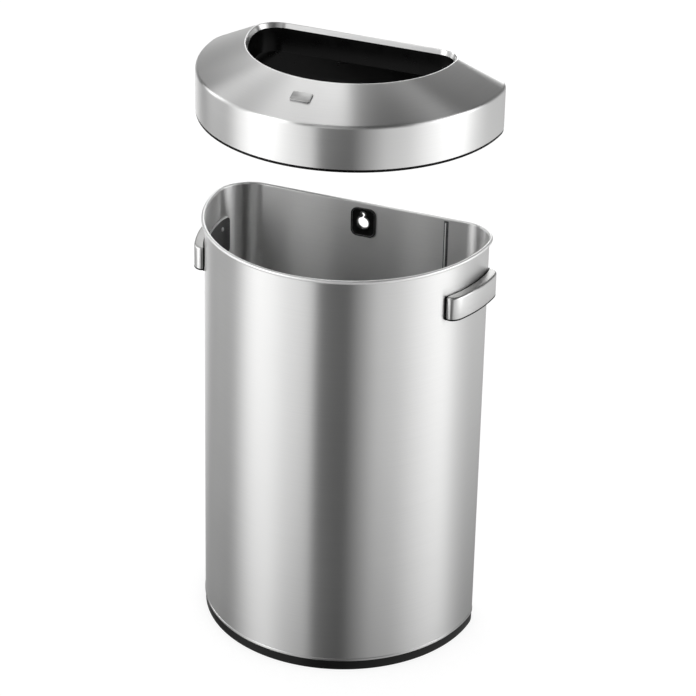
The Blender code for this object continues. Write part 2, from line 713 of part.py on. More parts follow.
def handle_core(name, side, material):
    """Plastic core: wall flange, body in the cover, lip below it and the recess for the fingers."""
    inset = HANDLE_COVER_SHEET + CLEARANCE
    top = HANDLE_TOP - inset
    foot = HANDLE_BOTTOM - CLEARANCE - HANDLE_LIP
    near, turn = HANDLE_FLANGE / 2, HANDLE_TOP_RADIUS - inset
    core = handle_body(name, side, inset, near, foot + HANDLE_LIP / 2, top, turn, material)
    lip = [handle_ring(side, 0.0, HANDLE_FLANGE / 3, z) for z in (foot, foot + HANDLE_LIP)]
    join(core, bar("lip", lip))
    ends = (HANDLE_START - HANDLE_FLANGE_BORDER, HANDLE_END + HANDLE_FLANGE_BORDER)
    stations = np.linspace(*ends, HANDLE_WALL_STEPS + 1)
    plan = [(s, HANDLE_FLANGE) for s in stations] + [(s, CLEARANCE) for s in reversed(stations)]
    join(core, bar("flange", [plan_ring(side, plan, z) for z in (foot - HANDLE_FLANGE_BORDER, HANDLE_TOP)]))
    grip_start, grip_end = HANDLE_START + HANDLE_SOLID_END, HANDLE_END - HANDLE_SOLID_END
    stations = np.linspace(grip_start, grip_end, HANDLE_MIDDLE_STEPS + 1)
    reach = HANDLE_REACH - inset - HANDLE_CORE_WALL
    wall_side = HANDLE_FLANGE + JOIN_OVERLAP
    plan = [(s, reach) for s in stations] + [(s, wall_side) for s in reversed(stations)]
    levels = (foot - HANDLE_FLANGE_BORDER - CUT_OVERRUN, top - HANDLE_GRIP_ROOF)
    cut(core, bar("grip", [plan_ring(side, plan, z) for z in levels]))
    places, axes = handle_screw_lines(side, 0.0)
    depth = HANDLE_SCREW_BITE + CLEARANCE
    hole = [(SCREW_RADIUS + CLEARANCE, -CUT_OVERRUN), (SCREW_RADIUS + CLEARANCE, depth)]
    cut(core, turned("holes", hole, places, axes))
    return core


def handle_screw_lines(side, offset):
    """Start points and directions of a handle's two screws, at mid-height of the handle."""
    places = []
    axes = []
    for distance in (HANDLE_START + HANDLE_SCREW_FROM_END, HANDLE_END - HANDLE_SCREW_FROM_END):
        (x, y), normal = BODY.along(side * distance, offset)
        places.append((x, y, HANDLE_TOP - HANDLE_HEIGHT / 2))
        axes.append((*normal, 0.0))
    return places, axes


def cut_screw_holes(shape):
    """Holes for the handle screws through the wall and the plates inside it."""
    radius = SCREW_RADIUS + CLEARANCE
    reach = HANDLE_STACK + CUT_OVERRUN
    for side in (-1, 1):
        places, axes = handle_screw_lines(side, -reach)
        cut(shape, turned("holes", [(radius, 0.0), (radius, reach + CUT_OVERRUN)], places, axes))


def handle_backing(name, side, material):
    """Plate inside the wall behind a handle, with rounded corners and a softened inner edge."""
    outer = SHELL_INSIDE - FACET_ALLOWANCE - CLEARANCE
    inner = outer - BACKING_THICKNESS
    top = RIM_HEIGHT - BACKING_BELOW_RIM
    bottom = top - BACKING_HEIGHT
    start, end = HANDLE_START - BACKING_PAST_HANDLE, HANDLE_END + BACKING_PAST_HANDLE
    turns = [math.pi / 2 * step / FILLET_STEPS for step in range(FILLET_STEPS + 1)]
    columns = [
        (BACKING_CORNER_RADIUS * (1 - math.cos(angle)), BACKING_CORNER_RADIUS * (1 - math.sin(angle)))
        for angle in turns
    ]
    stations = [(start + run, drop) for run, drop in columns]
    middle = np.linspace(start, end, HANDLE_WALL_STEPS + 1)[1:-1]
    stations += [(distance, 0.0) for distance in middle]
    stations += [(end - run, drop) for run, drop in reversed(columns)]
    sections = []
    for distance, drop in stations:
        soft = BACKING_EDGE_RADIUS
        profile = [
            (outer, bottom + drop), (outer, top - drop), (inner + soft, top - drop),
            (inner, top - drop - soft), (inner, bottom + drop + soft), (inner + soft, bottom + drop),
        ]
        section = []
        for offset, z in profile:
            (x, y), _ = BODY.along(side * distance, offset)
            section.append((x, y, z))
        sections.append(np.array(section))
    plate = bar(name, sections, material)
    cut_screw_holes(plate)
    return plate


def handle_screws(word, side, material):
    under_head = HANDLE_STACK + CLEARANCE
    places, axes = handle_screw_lines(side, -under_head - SCREW_HEAD_HEIGHT)
    names = [f"handle_screw_{word}_{end}" for end in ("front", "rear")]
    place_screws(names, under_head + HANDLE_SCREW_BITE, places, axes, material)


def lid_shell(material):
    """Skirt, crease, slope up to the mouth and the lip that turns down into it."""
    foot = BODY.ring(LID_OVERHANG, SKIRT_FOOT)
    crease = BODY.ring(LID_OVERHANG, CREASE_HEIGHT)
    crest = MOUTH.ring(0.0, CREST_HEIGHT + MOUTH_CREST_DIP)
    lip = MOUTH.ring(-MOUTH_LIP_REACH, LIP_FOOT)
    crease_ends = toward(crease, foot, LID_CREASE_RUN), toward(crease, crest, LID_CREASE_RUN)
    crest_ends = toward(crest, crease, MOUTH_CREST_RUN), toward(crest, lip, MOUTH_CREST_RUN)
    rings = [
        foot,
        *soft_corner(crease_ends[0], crease, crease_ends[1], FILLET_STEPS),
        *soft_corner(crest_ends[0], crest, crest_ends[1], MOUTH_CREST_STEPS),
        lip,
    ]
    return sheet("lid_shell", rings, LID_SHEET, material, grow=-1)


def lid_frame(material):
    """Frame under the skirt: outer flange, seat on the rim, locating wall and deck up to the throat."""
    face = LID_OVERHANG - FRAME_FLANGE_INSET
    wall = LID_OVERHANG - LID_SHEET - CLEARANCE
    locate = SHELL_INSIDE - LOCATING_PLAY
    seat = LID_BOTTOM + FRAME_SEAT_DEPTH
    shelf = LINER_FOOT + FRAME_SHELF_LIFT
    shelf_inner = CLEARANCE - MOUTH_LIP_REACH - LINER_STEP - LINER_DRAFT + LINER_WALL
    rings = [
        BODY.ring(face - FRAME_CHAMFER, LID_BOTTOM),
        BODY.ring(face, LID_BOTTOM + FRAME_CHAMFER),
        BODY.ring(face, LID_BOTTOM + FRAME_FLANGE),
        BODY.ring(wall, LID_BOTTOM + FRAME_FLANGE),
        BODY.ring(wall, seat + FRAME_WEB),
        BODY.ring(locate - LOCATING_WALL + FRAME_DECK_ROOT, seat + FRAME_WEB),
        MOUTH.ring(FRAME_SHELF_WIDTH + FRAME_DECK_TOP, shelf + FRAME_SHELF),
        MOUTH.ring(shelf_inner, shelf + FRAME_SHELF),
        MOUTH.ring(shelf_inner, shelf),
        MOUTH.ring(FRAME_SHELF_WIDTH, shelf),
        BODY.ring(locate - LOCATING_WALL, seat),
        BODY.ring(locate - LOCATING_WALL, seat - LOCATING_DEPTH),
        BODY.ring(locate, seat - LOCATING_DEPTH),
        BODY.ring(locate, seat),
        BODY.ring(wall - FRAME_WALL, seat),
        BODY.ring(wall - FRAME_WALL, LID_BOTTOM),
    ]
    frame = swept_section("lid_frame", rings, material)
    hole = [(SCREW_RADIUS + CLEARANCE, 0.0), (SCREW_RADIUS + CLEARANCE, FRAME_SHELF + 2 * CUT_OVERRUN)]
    places, axes = lid_screw_lines(shelf - CUT_OVERRUN)
    cut(frame, turned("holes", hole, places, axes))
    return frame


def lid_screw_lines(z):
    """Start points and upward directions of the screws, beside the mouth on both sides."""
    places = []
    for share in LID_SCREW_SHARES:
        for side in (-1, 1):
            (x, y), _ = MOUTH.along(side * share * MOUTH.half_length, LINER_SCREW_OFFSET)
            places.append((x, y, z))
    return places, [(0.0, 0.0, 1.0)] * len(places)


def throat_liner(material):
    """Throat below the lip: tongue behind the lip, drafted wall, foot flange on the frame's shelf."""
    inside = -MOUTH_LIP_REACH - LINER_STEP
    top = LIP_FOOT - CLEARANCE
    tongue = LINER_TONGUE_GAP + LID_SHEET - MOUTH_LIP_REACH
    lean = MOUTH_LIP_REACH / MOUTH_LIP_DROP * LINER_TONGUE_HEIGHT
    outside = inside + LINER_WALL
    flange = LINER_FOOT + FRAME_SHELF_LIFT + FRAME_SHELF + CLEARANCE
    foot_outside = outside - LINER_DRAFT
    rings = [
        MOUTH.ring(inside, top),
        MOUTH.ring(tongue, top),
        MOUTH.ring(tongue + lean, top + LINER_TONGUE_HEIGHT),
        MOUTH.ring(tongue + lean + LINER_TONGUE, top + LINER_TONGUE_HEIGHT),
        MOUTH.ring(tongue + LINER_TONGUE, top - LINER_TONGUE),
        MOUTH.ring(foot_outside, flange + LINER_FLANGE),
        MOUTH.ring(LINER_FLANGE_WIDTH, flange + LINER_FLANGE),
        MOUTH.ring(LINER_FLANGE_WIDTH, flange),
        MOUTH.ring(foot_outside, flange),
        MOUTH.ring(foot_outside, LINER_FOOT),
        MOUTH.ring(inside - LINER_DRAFT, LINER_FOOT),
    ]
    liner = swept_section("throat_liner", rings, material)
    roof = LINER_FLANGE + LINER_BOSS_HEIGHT
    boss = [(LINER_BOSS_RADIUS, LINER_FLANGE / 2), (LINER_BOSS_RADIUS, roof)]
    places, axes = lid_screw_lines(flange)
    join(liner, turned("bosses", boss, places, axes))
    hole = [(SCREW_RADIUS + CLEARANCE, -CUT_OVERRUN), (SCREW_RADIUS + CLEARANCE, roof - SCREW_HOLE_FLOOR)]
    cut(liner, turned("holes", hole, places, axes))
    return liner


def lid_screws(material):
    shelf = LINER_FOOT + FRAME_SHELF_LIFT
    grip = FRAME_SHELF + 2 * CLEARANCE + LINER_SCREW_BITE
    places, axes = lid_screw_lines(shelf - CLEARANCE - SCREW_HEAD_HEIGHT)
    names = [f"lid_screw_{spot}_{word}" for spot in LID_SCREW_SPOTS for word in ("left", "right")]
    place_screws(names, grip, places, axes, material)


def slope_point(x, share):
    """Point on the lid's slope above the front, at a sideways distance and a share of the way up."""
    outer_angle = math.asin(x / (BODY.half_width + LID_OVERHANG))
    low_y = BODY.side_y - (BODY.front_depth + LID_OVERHANG) * math.cos(outer_angle)
    inner_angle = math.asin(x / MOUTH.half_width)
    high_y = MOUTH.side_y - MOUTH.front_depth * math.cos(inner_angle)
    low = np.array((x, low_y, CREASE_HEIGHT))
    high = np.array((x, high_y, CREST_HEIGHT + MOUTH_CREST_DIP))
    return low + share * (high - low)


def lid_badge(material):
    """Thin plate with rounded corners, bent to the slope at the front's middle, its edge chamfered."""
    way = slope_point(0.0, 1.0) - slope_point(0.0, 0.0)
    span = np.linalg.norm(way)
    normal = np.array((0.0, -way[2], way[1])) / span
    reach_x = BADGE_WIDTH / 2 - BADGE_CORNER_RADIUS
    reach_up = BADGE_LENGTH / 2 - BADGE_CORNER_RADIUS
    rings = []
    for inset, lift in ((0.0, 0.0), (0.0, BADGE_THICKNESS - BADGE_EDGE), (BADGE_EDGE, BADGE_THICKNESS)):
        radius = BADGE_CORNER_RADIUS - inset
        ring = []
        for quarter, (side_x, side_up) in enumerate(((1, 1), (-1, 1), (-1, -1), (1, -1))):
            for step in range(BADGE_STEPS + 1):
                angle = math.pi / 2 * (quarter + step / BADGE_STEPS)
                x = side_x * reach_x + radius * math.cos(angle)
                up = side_up * reach_up + radius * math.sin(angle)
                ring.append(slope_point(x, BADGE_MIDDLE_SHARE + up / span) + (CLEARANCE + lift) * normal)
        rings.append(np.array(ring))
    return bar("lid_badge", rings, material)


def build():
    for shape in list(bpy.data.objects):
        bpy.data.objects.remove(shape)
    steel = make_material("brushed_steel", *BRUSHED_STEEL)
    dark_steel = make_material("plate_steel", *PLATE_STEEL)
    plastic = make_material("black_plastic", *BLACK_PLASTIC)
    fixing = make_material("screw_steel", *SCREW_STEEL)

    body_shell(steel)
    base_ring(plastic)
    floor_pan(steel)
    floor_screws(fixing)
    wall_bracket(plastic)
    wall_bracket_retainer(plastic)
    for word, side in (("left", -1), ("right", 1)):
        handle_core(f"handle_core_{word}", side, plastic)
        handle_cover(f"handle_cover_{word}", side, steel)
        handle_backing(f"handle_backing_{word}", side, dark_steel)
        handle_screws(word, side, fixing)
    lid_shell(steel)
    lid_frame(plastic)
    throat_liner(plastic)
    lid_badge(steel)
    lid_screws(fixing)


build()
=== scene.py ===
import math

import bmesh
import bpy
import numpy as np
from mathutils import Matrix, Vector


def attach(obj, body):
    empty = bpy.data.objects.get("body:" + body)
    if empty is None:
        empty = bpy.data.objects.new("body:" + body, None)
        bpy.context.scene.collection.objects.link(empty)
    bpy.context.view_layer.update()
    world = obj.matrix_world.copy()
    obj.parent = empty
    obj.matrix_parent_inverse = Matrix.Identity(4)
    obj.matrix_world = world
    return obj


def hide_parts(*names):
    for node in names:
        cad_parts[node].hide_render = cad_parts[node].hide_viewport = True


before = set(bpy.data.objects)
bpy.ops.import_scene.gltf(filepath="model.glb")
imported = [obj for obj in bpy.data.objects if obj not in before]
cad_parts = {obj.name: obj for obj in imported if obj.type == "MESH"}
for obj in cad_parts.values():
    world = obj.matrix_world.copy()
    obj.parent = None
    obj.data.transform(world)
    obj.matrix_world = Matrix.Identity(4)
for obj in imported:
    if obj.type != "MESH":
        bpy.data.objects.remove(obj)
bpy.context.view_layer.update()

# Sizes in metres, as in the solids. Body:
CLEARANCE = 0.0003
BODY_WIDTH = 0.470
BODY_DEPTH = 0.297
BACK_CORNER = 0.0565
RIM_HEIGHT = 0.716
SHEET = 0.0009
BEAD = 0.0031
CURL_DEGREES = 300
HEM_HEIGHT = 0.0034
HEM_DEPTH = 0.0006
SEAM_X = 0.144
SEAM_WIDTH = 0.008
SEAM_THICKNESS = 0.0009
SEAM_BELOW_RIM = 0.0045
SEAM_BEAD_WIDTH = 0.0044
SEAM_BEAD_RISE = 0.0019
SEAM_BEAD_BELOW_RIM = 0.0078

# Base ring
RING_HEIGHT = 0.0172
RING_INSET = 0.0006
RING_CHAMFER = 0.0008
RING_WIDTH = 0.022
RING_LEDGE = 0.0095
RING_UPSTAND = 0.014
RING_UPSTAND_WALL = 0.0024
RING_OUTER_WALL = 0.005
RING_INNER_WALL = 0.003
RING_ROOF = 0.0025
RING_BOSS_WIDTH = 0.012
RING_BOSS_LIFT = 0.0006
FLOOR_SCREWS = 6
FLOOR_SCREW_SETBACK = 0.0123

# Floor pan
PAN_SHEET = 0.0008
PAN_FLANGE = 0.011
PAN_RADIUS = 0.003
PAN_MARGIN = 0.024
PAN_STEP_WIDTH = 0.006
PAN_STEP_HEIGHT = 0.004
PAN_CENTRE_SHARES = (0.4, 0.98)

# Screws; the head's profile and the recess are in shares of the head's radius and height
SCREW_RADIUS = 0.002
SCREW_TIP_SHARE = 0.3
SCREW_HEAD = 0.0038
SCREW_HEAD_HEIGHT = 0.0024
SCREW_HEAD_PROFILE = ((0.35, 0.02), (0.7, 0.16), (0.93, 0.45), (1.0, 0.8), (1.0, 1.0))
RECESS_LENGTH = 0.55
RECESS_WIDTH = 0.14
RECESS_DEPTH = 0.5
FLOOR_SCREW_GRIP = 0.0065
HANDLE_SCREW_BITE = 0.009
LINER_SCREW_BITE = 0.006

# Wall bracket
BRACKET_WIDTH = 0.043
BRACKET_HEIGHT = 0.050
BRACKET_CORNER = 0.011
BRACKET_BELOW_RIM = 0.034
BRACKET_PLATE = 0.0022
BRACKET_BORDER = 0.0022
BRACKET_BORDER_HEIGHT = 0.0012
BRACKET_ROUND = 0.0009
KEYHOLE_BELOW_RIM = 0.0345
KEYHOLE_HEAD = 0.010
SLOT_BELOW_RIM = 0.0197
KEYHOLE_SLOT = 0.0035
KEYHOLE_NECK = 0.0035
COLLAR_WALL = 0.0018
RETAINER = 0.0015

# Handles
HANDLE_LENGTH = 0.130
HANDLE_PAST_CORNER = 0.015
HANDLE_BELOW_RIM = 0.052
HANDLE_HEIGHT = 0.038
HANDLE_REACH = 0.0175
HANDLE_END_REACH = 0.0045
HANDLE_END_ROUND = 0.020
HANDLE_TOP_RADIUS = 0.0035
COVER_SHEET = 0.0012
HANDLE_FLANGE = 0.0025
FLANGE_DROP = 0.0006
HANDLE_LIP = 0.0022
HANDLE_LIP_EDGE = 0.0003
CORE_WALL = 0.002
GRIP_ROOF = 0.003
GRIP_WALL = 0.0005
SCREW_FROM_END = 0.012
SOLID_END = 0.024

# Plates behind the handles
BACKING = 0.0030
BACKING_GAP = 0.0006
BACKING_PAST = 0.010
BACKING_BELOW_RIM = 0.053
BACKING_HEIGHT = 0.067
BACKING_EDGE = 0.0022
BACKING_CORNER = 0.006

# Lid
LID_LIFTED = 0.186
OVERHANG = 0.014
SKIRT = 0.0688
LID_RISE = 0.0385
CREASE_RUN = 0.0045
MOUTH_WIDTH = 0.339
MOUTH_DEPTH = 0.2055
MOUTH_CORNER = 0.0385
MOUTH_BACK = 0.0225
CREST_RUN = 0.0028
CREST_DIP = 0.0005
LIP_DROP = 0.0086
LIP_REACH = 0.003

# Lid frame
FLANGE = 0.0042
FLANGE_INSET = 0.0004
FLANGE_CHAMFER = 0.0005
FRAME_WALL = 0.0024
SEAT_DEPTH = 0.022
WEB = 0.0028
LOCATING_PLAY = 0.0013
LOCATING_WALL = 0.0022
LOCATING_DEPTH = 0.007
DECK_ROOT = 0.002
DECK_TOP = 0.0015
SHELF = 0.0024
SHELF_WIDTH = 0.0125
SHELF_LIFT = 0.0005

# Throat liner
LINER_DEPTH = 0.047
LINER_WALL = 0.0022
LINER_STEP = 0.0008
LINER_DRAFT = 0.0022
TONGUE = 0.002
TONGUE_HEIGHT = 0.004
TONGUE_GAP = 0.0004
LINER_FLANGE = 0.0024
LINER_FLANGE_WIDTH = 0.012
LINER_BOSS_RADIUS = 0.0042
LINER_BOSS_HEIGHT = 0.006
LINER_SCREW_OFFSET = 0.0055
LID_SCREW_SHARES = (0.12, 0.5, 0.88)
LID_SCREW_SPOTS = ("front", "side", "back")

# Badge
BADGE_WIDTH = 0.033
BADGE_LENGTH = 0.019
BADGE_THICKNESS = 0.0018
BADGE_CORNER = 0.003
BADGE_EDGE = 0.0006
BADGE_SHARE = 0.56

# How finely the surfaces are made
FRONT_STEPS = 160
CORNER_STEPS = 24
PATH_STEPS = 400
CURL_STEPS = 30
TURN_STEPS = 6
SECTION_CORNER_STEPS = 3
EDGE_STEPS = 4
PLATE_CORNER_STEPS = 12
BADGE_CORNER_STEPS = 8
HANDLE_END_STEPS = 14
HANDLE_STEPS = 24
CIRCLE_STEPS = 40
SCREW_SIDES = 28
LINER_BOSS_SIDES = 24

# Overlap of joined meshes, and how far cutting tools reach past what they cut
JOIN = 0.0005
OVERRUN = 0.002

# Edges that turn by more than this stay sharp
SHARP_DEGREES = 32
SCREW_SHARP_DEGREES = 30
WRAP_SHARP_DEGREES = 40
SOFT_SHARP_DEGREES = 60
# Edges that turn by more than this are rounded on softened pieces
ROUNDED_DEGREES = 50

# Which faces take another material, a painted highlight or painted shade: parts of their normals, and the
# straight rim's depth
FLAT_LEAN = 0.8
BRACKET_HIGHLIGHT_LEANS = (-0.97, -0.03)
BEAD_SHADE_LEAN = 0.25
STRAIGHT_RIM = 0.006

# Camera at the photograph's angle
IMAGE_PIXELS = 696
SENSOR_MM = 36
CAMERA_AZIMUTH = 22.21
CAMERA_ELEVATION = 27.205
CAMERA_ROLL = 1.325
CAMERA_FOCAL_PIXELS = 2783.5
CAMERA_DISTANCE = 4.4895
CAMERA_TARGET = (0.03785, 0.0, 0.527)


def quarter_turn(steps, first=0):
    return [math.pi / 2 * step / steps for step in range(first, steps + 1)]


class HalfRound:
    """D-shaped outline: a half-ellipse in front, two round back corners and a straight back."""

    def __init__(self, width, depth, corner, back_offset=0.0):
        self.half_width = width / 2
        self.corner = corner
        self.front_depth = depth - corner
        self.side_y = back_offset - depth / 2 + self.front_depth
        self.back_y = back_offset + depth / 2
        self.trace_outline()
        self.trace_right_half()

    def trace_outline(self):
        """Points and normals from the left side, by the front and the right, to the left back corner."""
        pairs = [self.front(math.pi * (step / FRONT_STEPS - 1 / 2)) for step in range(FRONT_STEPS + 1)]
        turns = quarter_turn(CORNER_STEPS, 1)
        pairs += [self.back_corner(turn, 1) for turn in turns]
        pairs += [self.back_corner(turn, -1) for turn in reversed(turns)]
        self.points = np.array([p for p, _ in pairs])
        self.normals = np.array([n for _, n in pairs])
        steps = np.linalg.norm(np.roll(self.points, -1, axis=0) - self.points, axis=1)
        self.runs = np.concatenate([[0.0], np.cumsum(steps)])

    def trace_right_half(self):
        """Fine path from the front's middle to the back's, with the distance at each point."""
        angles = quarter_turn(PATH_STEPS)
        pairs = [self.front(angle) for angle in angles]
        pairs += [self.back_corner(angle, 1) for angle in angles[1:]]
        pairs.append(((0.0, self.back_y), (0.0, 1.0)))
        self.path_points = np.array([p for p, _ in pairs])
        self.path_normals = np.array([n for _, n in pairs])
        steps = np.linalg.norm(np.diff(self.path_points, axis=0), axis=1)
        self.path_lengths = np.concatenate([[0.0], np.cumsum(steps)])
        self.side_length = float(self.path_lengths[PATH_STEPS])
        self.half_length = float(self.path_lengths[-1])

    def front(self, angle):
        x = self.half_width * math.sin(angle)
        y = self.side_y - self.front_depth * math.cos(angle)
        normal = np.array((math.sin(angle) / self.half_width, -math.cos(angle) / self.front_depth))
        return (x, y), tuple(normal / np.linalg.norm(normal))

    def back_corner(self, angle, side):
        normal = (side * math.cos(angle), math.sin(angle))
        x = side * (self.half_width - self.corner) + self.corner * normal[0]
        return (x, self.side_y + self.corner * normal[1]), normal

    def along(self, distance, offset=0.0):
        """Point moved out by offset, and normal, at a distance from the front's middle."""
        side = -1.0 if distance < 0 else 1.0
        reach = abs(distance)
        point = np.array([np.interp(reach, self.path_lengths, self.path_points[:, k]) for k in (0, 1)])
        normal = np.array([np.interp(reach, self.path_lengths, self.path_normals[:, k]) for k in (0, 1)])
        normal /= np.linalg.norm(normal)
        mirror = np.array((side, 1.0))
        return (point + offset * normal) * mirror, normal * mirror

    def ring(self, offset, z):
        flat = self.points + offset * self.normals
        return np.column_stack([flat, np.full(len(flat), z)])


BODY = HalfRound(BODY_WIDTH, BODY_DEPTH, BACK_CORNER)
MOUTH = HalfRound(MOUTH_WIDTH, MOUTH_DEPTH, MOUTH_CORNER, MOUTH_BACK)

INSIDE = -SHEET
SHELL_FOOT = RING_HEIGHT + CLEARANCE
CURL_Z = RIM_HEIGHT - BEAD
BACK_Y = BODY.back_y
HANDLE_TOP = RIM_HEIGHT - HANDLE_BELOW_RIM
HANDLE_BOTTOM = HANDLE_TOP - HANDLE_HEIGHT
HANDLE_END = BODY.side_length + HANDLE_PAST_CORNER
HANDLE_START = HANDLE_END - HANDLE_LENGTH
HANDLE_STACK = SHEET + BACKING_GAP + BACKING
LID_BOTTOM = RIM_HEIGHT + LID_LIFTED
SKIRT_FOOT = LID_BOTTOM + FLANGE + CLEARANCE
CREASE = SKIRT_FOOT + SKIRT
CREST = CREASE + LID_RISE
LIP_FOOT = CREST - LIP_DROP
LINER_FOOT = CREST - LINER_DEPTH
SHELF_Z = LINER_FOOT + SHELF_LIFT


# Mesh helpers

def new_mesh(name, vertices, faces):
    mesh = bpy.data.meshes.new(name)
    mesh.from_pydata([tuple(v) for v in vertices], [], faces)
    return mesh


def add_object(name, data):
    piece = bpy.data.objects.new(name, data)
    bpy.context.scene.collection.objects.link(piece)
    return piece


def smooth(piece, degrees):
    piece.data.shade_smooth()
    piece.data.set_sharp_from_angle(angle=math.radians(degrees))


def finish_mesh(piece, degrees):
    work = bmesh.new()
    work.from_mesh(piece.data)
    bmesh.ops.recalc_face_normals(work, faces=work.faces)
    work.to_mesh(piece.data)
    work.free()
    smooth(piece, degrees)


def ring_quads(low, high, count):
    """Faces between two rings of count points each; low and high are the rings' numbers."""
    faces = []
    for i in range(count):
        j = (i + 1) % count
        faces.append((low * count + i, low * count + j, high * count + j, high * count + i))
    return faces


def sweep(name, rings, runs, closed_section, degrees=SHARP_DEGREES):
    """Surface through rings of equal length, with metre UVs: U along the outline, V along the section."""
    count = len(rings[0])
    stack = np.array(rings)
    step = np.linalg.norm(np.diff(stack, axis=0), axis=2).mean(axis=1)
    heights = np.concatenate([[0.0], np.cumsum(step)])
    pairs = [(k, k + 1) for k in range(len(rings) - 1)]
    if closed_section:
        pairs.append((len(rings) - 1, 0))
        heights = np.append(heights, heights[-1] + np.linalg.norm(stack[0] - stack[-1], axis=1).mean())
    faces = []
    coords = []
    for low, high in pairs:
        faces += ring_quads(low, high, count)
        for i in range(count):
            coords += [
                (runs[i], heights[low]), (runs[i + 1], heights[low]),
                (runs[i + 1], heights[low + 1]), (runs[i], heights[low + 1]),
            ]
    mesh = new_mesh(name, stack.reshape(-1, 3), faces)
    layer = mesh.uv_layers.new(name="grain")
    layer.data.foreach_set("uv", np.array(coords, dtype=np.float32).ravel())
    piece = add_object(name, mesh)
    finish_mesh(piece, degrees)
    return piece


def bar(name, sections, degrees=SHARP_DEGREES):
    """Solid through sections of equal length, with flat ends."""
    count = len(sections[0])
    faces = []
    for low in range(len(sections) - 1):
        faces += ring_quads(low, low + 1, count)
    faces.append(tuple(range(count)))
    faces.append(tuple(range((len(sections) - 1) * count, len(sections) * count)))
    piece = add_object(name, new_mesh(name, np.concatenate(sections), faces))
    finish_mesh(piece, degrees)
    return piece


def level_ring(outline, z):
    return np.array([(x, y, z) for x, y in outline])


def post(name, outline, levels):
    """Bar with one outline, given as (x, y), at two heights."""
    return bar(name, [level_ring(outline, z) for z in levels])


def prism(name, outline, from_y, to_y):
    """Bar with one outline, given as (x, z), from front to back."""
    return bar(name, [np.array([(x, y, z) for x, z in outline]) for y in (from_y, to_y)])


def round_edge(radius, steps):
    """Distances in from the side and down from the top, round an edge from side to top."""
    return [(radius * (1 - math.cos(a)), radius * (1 - math.sin(a))) for a in quarter_turn(steps)]


def circle(middle, radius, sides):
    angles = [2 * math.pi * k / sides for k in range(sides)]
    return [(middle[0] + radius * math.cos(a), middle[1] + radius * math.sin(a)) for a in angles]


def rounded_rectangle(half_width, half_height, radius, steps):
    outline = []
    for quarter, (side_x, side_y) in enumerate(((1, 1), (-1, 1), (-1, -1), (1, -1))):
        for step in range(steps + 1):
            angle = math.pi / 2 * (quarter + step / steps)
            x = side_x * (half_width - radius) + radius * math.cos(angle)
            outline.append((x, side_y * (half_height - radius) + radius * math.sin(angle)))
    return outline


def bake(piece, degrees):
    """Apply the piece's modifiers."""
    graph = bpy.context.evaluated_depsgraph_get()
    mesh = bpy.data.meshes.new_from_object(piece.evaluated_get(graph))
    piece.modifiers.clear()
    piece.data = mesh
    finish_mesh(piece, degrees)


def thicken(piece, thickness):
    """Give a surface a thickness on its inner side."""
    modifier = piece.modifiers.new("thickness", "SOLIDIFY")
    modifier.thickness = thickness
    modifier.offset = -1
    modifier.use_even_offset = True
    modifier.use_quality_normals = True
    bake(piece, SHARP_DEGREES)


def combine(piece, tool, operation, degrees=SHARP_DEGREES):
    modifier = piece.modifiers.new("combine", "BOOLEAN")
    modifier.operation = operation
    modifier.solver = "EXACT"
    modifier.object = tool
    bake(piece, degrees)
    bpy.data.objects.remove(tool)


def cut(piece, tool, degrees=SHARP_DEGREES):
    combine(piece, tool, "DIFFERENCE", degrees)


def soften(piece, width, segments):
    """Small rounds on the edges."""
    modifier = piece.modifiers.new("round", "BEVEL")
    modifier.width = width
    modifier.segments = segments
    modifier.limit_method = "ANGLE"
    modifier.angle_limit = math.radians(ROUNDED_DEGREES)
    bake(piece, SOFT_SHARP_DEGREES)


def merge(target, others):
    """Join meshes that only lie against each other."""
    work = bmesh.new()
    for piece in (target, *others):
        work.from_mesh(piece.data)
    work.to_mesh(target.data)
    work.free()
    for piece in others:
        bpy.data.objects.remove(piece)
    smooth(target, SHARP_DEGREES)


def soft_corner(start, corner, end, steps):
    shares = [step / steps for step in range(steps + 1)]
    return [(1 - s) ** 2 * start + 2 * s * (1 - s) * corner + s ** 2 * end for s in shares]


def toward(start, end, distance):
    way = end - start
    return start + distance * way / np.linalg.norm(way, axis=1)[:, None]


def turned_corner(before, corner, after, run, steps):
    """Soft corner that starts and ends at a distance of run from the plain one."""
    return soft_corner(toward(corner, before, run), corner, toward(corner, after, run), steps)


def section_rings(corners):
    """Rings of a closed section; a corner is (outline, offset, z, run of its soft turn)."""
    count = len(corners)
    plain = [outline.ring(offset, z) for outline, offset, z, _ in corners]
    rings = []
    for k, (_, _, _, run) in enumerate(corners):
        if run == 0:
            rings.append(plain[k])
        else:
            rings += turned_corner(plain[k - 1], plain[k], plain[(k + 1) % count], run, SECTION_CORNER_STEPS)
    return rings


def dress(piece, body, slot, material, *nodes):
    """Give the piece its look, its body and the nodes it stands for."""
    piece.data.materials.clear()
    piece.data.materials.append(material)
    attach(piece, body)
    if nodes:
        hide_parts(*nodes)


def dress_faces(piece, material, chosen):
    """Give another material to the faces that chosen picks."""
    piece.data.materials.append(material)
    number = len(piece.data.materials) - 1
    for face in piece.data.polygons:
        if chosen(face):
            face.material_index = number


# Bin

